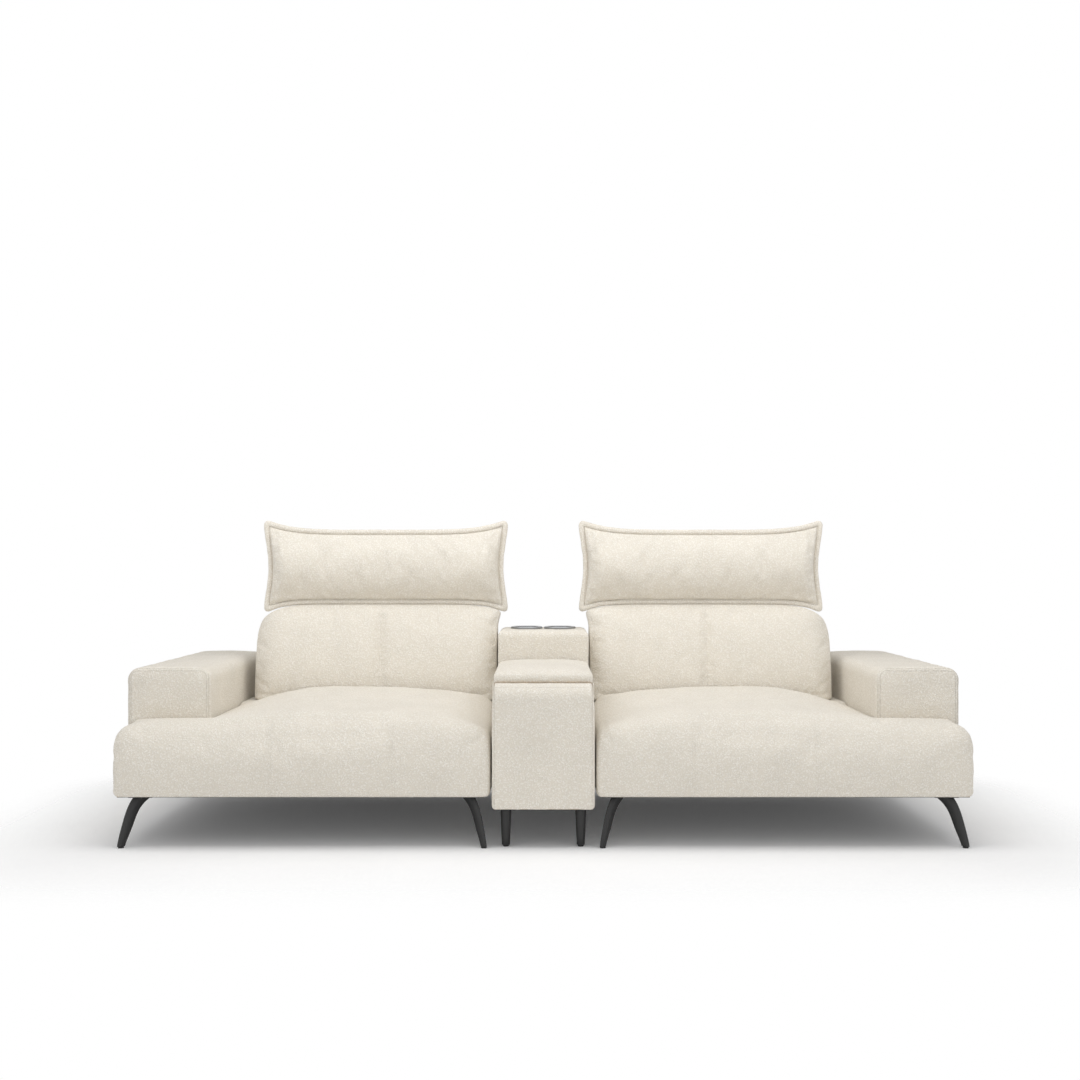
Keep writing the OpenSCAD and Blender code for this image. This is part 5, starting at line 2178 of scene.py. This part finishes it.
@dataclass
class Studio:
    """Floor, light and camera.

    Attributes:
        camera_at: Place of the camera.
        lens: Its focal length in millimetres, on a sensor 36 wide.
        shift: Its shift, as shares of the sensor's width.
        sky: Light of the sky on the sofa.
        rear_dim: Share of it taken away low behind the sofa.
        front_gain: Share added low before the sofa.
        lamp_power: Power of the lamp in watts.
        lamp_at: Place of the lamp.
        lamp_size: Its length and width.
        lamp_tilt: How far it tilts towards the back.
        floor_half: Half the floor's side.
        floor_tone: Lowest and highest tone of the floor.
        floor_glow: Light that the camera sees added to the floor.
        footprint: Half the length and half the depth of the sofa.
        fade: Distances from it where the floor starts to fade and is gone.
    """

    camera_at: tuple = (0.0, -4.62, 0.8935)
    lens: float = 43.43
    shift: tuple = (-0.00306, 0.02315)
    sky: float = 0.63
    rear_dim: float = 1.0
    front_gain: float = 0.9
    lamp_power: float = 25.5
    lamp_at: tuple = (0.0, -0.6, 2.2)
    lamp_size: tuple = (4.2, 1.0)
    lamp_tilt: float = math.radians(12)
    floor_half: float = 9.0
    floor_tone: tuple = (0.97, 0.985)
    floor_glow: float = 0.05
    footprint: tuple = (1.30, 0.50)
    fade: tuple = (0.12, 0.75)

    def build(self) -> None:
        """Adds everything that isn't the sofa."""
        self.camera()
        self.world()
        self.lamp()
        self.floor()
        bpy.context.scene.view_settings.view_transform = "Standard"

    def camera(self) -> None:
        """The camera at the photograph's viewing angle."""
        data = bpy.data.cameras.new("camera")
        data.lens, data.sensor_width = self.lens, 36.0
        data.shift_x, data.shift_y = self.shift
        data.clip_end = 60
        camera = added("camera", data)
        camera.location = self.camera_at
        camera.rotation_euler = (math.radians(90), 0, 0)
        bpy.context.scene.camera = camera

    def world(self) -> None:
        """A pale sky that is white to the camera and in reflections."""
        world = bpy.data.worlds.new("sky")
        bpy.context.scene.world = world
        world.use_nodes = True
        g = Graph(world.node_tree)
        rays = g.add("LightPath")
        seen = g.math("MAXIMUM", rays.outputs["Is Camera Ray"], rays.outputs["Is Transmission Ray"])
        seen = g.math("MAXIMUM", seen, rays.outputs["Is Glossy Ray"])
        way = g.add("SeparateXYZ", Vector=g.add("TexCoord").outputs["Generated"])
        _, deep, high = way.outputs
        behind = g.math("MULTIPLY", g.span(deep, 0.0, 0.6), g.span(high, 0.35, 0.75, 1.0, 0.0))
        ahead = g.math("MULTIPLY", g.span(deep, 0.0, -0.6), g.span(high, 0.15, 0.5, 1.0, 0.0))
        dimmed = g.math("SUBTRACT", 1.0, g.math("MULTIPLY", behind, self.rear_dim))
        share = g.math("ADD", dimmed, g.math("MULTIPLY", ahead, self.front_gain))
        light = g.math("MULTIPLY", share, self.sky)
        strength = g.math("ADD", g.math("MULTIPLY", seen, g.math("SUBTRACT", 1.0, light)), light)
        sky = world.node_tree.nodes["Background"]
        sky.inputs["Color"].default_value = (1, 1, 1, 1)
        g.feed(strength, sky.inputs["Strength"])

    def lamp(self) -> None:
        """One broad soft lamp overhead."""
        data = bpy.data.lights.new("overhead", "AREA")
        data.shape, data.energy = "RECTANGLE", self.lamp_power
        data.size, data.size_y = self.lamp_size
        lamp = added("overhead", data)
        lamp.location = self.lamp_at
        lamp.rotation_euler = (self.lamp_tilt, 0, 0)

    def floor(self) -> None:
        """A pale floor that fades into the white background away from the sofa."""
        corners = np.array([[-1, -1, 0], [1, -1, 0], [1, 1, 0], [-1, 1, 0]]) * self.floor_half
        floor = add_mesh("floor", corners, [[0, 1, 2, 3]])
        made, g, place = new_material("pale_floor")
        nodes = made.node_tree.nodes
        soft = g.add("TexNoise", Vector=place, Scale=3.0, Detail=2.0)
        tone = g.span(soft.outputs[0], 0.3, 0.7, *self.floor_tone)
        grey = g.add("CombineColor", Red=tone, Green=tone, Blue=tone)
        shader = nodes["Principled BSDF"]
        g.feed(grey.outputs[0], shader.inputs["Base Color"])
        shader.inputs["Roughness"].default_value = 0.9
        shader.inputs["Specular IOR Level"].default_value = 0.1
        seen = g.add("LightPath").outputs["Is Camera Ray"]
        axes = g.add("SeparateXYZ", Vector=place)
        beside, before = (
            g.math("MAXIMUM", g.math("SUBTRACT", g.math("ABSOLUTE", axes.outputs[k]), self.footprint[k]), 0.0)
            for k in (0, 1)
        )
        squares = g.math("ADD", g.math("MULTIPLY", beside, beside), g.math("MULTIPLY", before, before))
        far = g.span(g.math("SQRT", squares), *self.fade)
        lit = g.add("Emission", Color=(1, 1, 1, 1), Strength=g.math("MULTIPLY", seen, self.floor_glow))
        both, mix = g.add("AddShader"), g.add("MixShader")
        for value, socket in zip((shader.outputs[0], lit.outputs[0]), both.inputs):
            g.feed(value, socket)
        clear = g.add("BsdfTransparent").outputs[0]
        for value, socket in zip((g.math("MULTIPLY", far, seen), both.outputs[0], clear), mix.inputs):
            g.feed(value, socket)
        g.feed(mix.outputs[0], nodes["Material Output"].inputs["Surface"])
        floor.data.materials.append(made)


# The whole sofa


HARD_NODES = {
    Slot.TIMBER: ("base_frame", "arm_frame", "back_frame", "headrest_board", "console_carcass", "lid_board"),
    Slot.WEBBING: ("seat_webbing",),
    Slot.LINING: ("dust_cover",),
    Slot.BLACKENED_STEEL: ("ratchet_arms", "ratchet_brackets", "hinge_leaves"),
    Slot.ZINC_STEEL: ("ratchet_pins", "lid_hinge_pins", "leg_screws", "unit_bolts"),
    Slot.TUB_PLASTIC: ("storage_tub",),
    Slot.GLIDE_PLASTIC: ("leg_glides",),
}


class Sofa:
    """The sofa's pieces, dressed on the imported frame."""

    def __init__(self, frame: dict) -> None:
        """Keeps the frame and makes the finishes."""
        self.frame = frame
        self.finishes = Finishes()

    def hard_parts(self) -> None:
        """Gives each CAD node that stays its material."""
        for slot, endings in HARD_NODES.items():
            for name, node in self.frame["nodes"].items():
                if name.endswith(endings):
                    node.data.materials.clear()
                    node.data.materials.append(self.finishes.made[slot])
                    log.info("%s: %s", name, slot.value)

    def seat_units(self) -> None:
        """Both seat units: soft pieces of the right one, then their mirror images."""
        arm_border = BorderSeam(
            1, 0.010, 1, high=-0.324, rows=2, strength=0.7,
            middle=1.2325, half=0.1375, top=0.558, corner=0.037,
        )
        outer_back = OuterBack("right_outer_back", "right_outer_back_cover", 0.009, 3)
        made = (
            (SeatBlock().build(), "seat_cushion", 0.75, "seat", [
                Seam(0, place, 1, high=-0.470, rows=2, strength=0.25) for place in (0.861, 0.473)
            ]),
            (ArmRest().build(), "arm_pad", 0.9, "arm", [arm_border]),
            (BackCushion().build(), "back_cushion", 0.7, "back", [Seam(0, 0.596, strength=0.3)]),
            (HeadPillow().build(), "headrest_cushion", 0.75, "headrest", [EdgeSeam(0, 0.020, strength=0.8)]),
            (outer_back.build(self.frame), "outer_back", 0.95, "outer_back", [
                Seam(2, 0.495, 1, low=0.45), Seam(0, 0.190, 1, low=0.45)
            ]),
        )
        for piece, node, fill, label, seams in made:
            material = self.finishes.cloth(label, *seams)
            other = mirrored(piece, piece.name.replace("right", "left"))
            for side, one in ((Side.RIGHT, piece), (Side.LEFT, other)):
                rides = f"{side.value}_headrest" if label == "headrest" else "root"
                dress(one, rides, Slot.BOUCLE, material, f"{side.value}_{node}")

    def console(self) -> None:
        """The console's cloth, lid and cups."""
        cloth = self.finishes.cloth
        border = BorderSeam(1, 0.009, 1, high=-0.5, strength=0.5, half=0.163, top=0.515, corner=0.014)
        front = FrontPanel("console_front_panel", "console_front_cover", 0.005, 3, puff=0.004)
        panels = {
            front: cloth("console_front", border),
            PaddedPanel("console_left_side", "console_left_cover", 0.0035, 1): cloth("console_left"),
            PaddedPanel("console_right_side", "console_right_cover", 0.0035, 1): cloth("console_right"),
            PaddedPanel("console_rear_panel", "console_rear_cover", 0.0035, 1): cloth("console_rear"),
            CupBlock("cup_block", "cup_block_cover", 0.005, 3): cloth("cup_block"),
        }
        for panel, material in panels.items():
            piece = dress(panel.build(self.frame), "root", Slot.BOUCLE, material, panel.node)
        dress(LidPad().build(), "console_lid", Slot.BOUCLE, cloth("lid"), "lid_pad")
        steel = self.finishes.made[Slot.CUP_STEEL]
        for side in Side:
            dress(SteelCup().build(side), "root", Slot.CUP_STEEL, steel, f"{side.value}_cup_holder")

    def legs(self) -> None:
        """The blades under the seats and the pegs under the console."""
        black = self.finishes.made[Slot.BLACK_METAL]
        for side in Side:
            for rear in (False, True):
                end = "rear" if rear else "front"
                for outer in (False, True):
                    node = f"{side.value}_{end}_{'outer' if outer else 'inner'}_leg"
                    dress(BladeLeg().build(side, outer, rear), "root", Slot.BLACK_METAL, black, node)
                node = f"console_{end}_{side.value}_leg"
                dress(PegLeg().build(side, rear), "root", Slot.BLACK_METAL, black, node)


def main() -> None:
    """Builds the studio and the sofa in order."""
    logging.basicConfig(level=logging.INFO, format="%(message)s")
    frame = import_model()
    Studio().build()
    sofa = Sofa(frame)
    sofa.hard_parts()
    sofa.seat_units()
    sofa.console()
    sofa.legs()


if __name__ == "__main__":
    main()
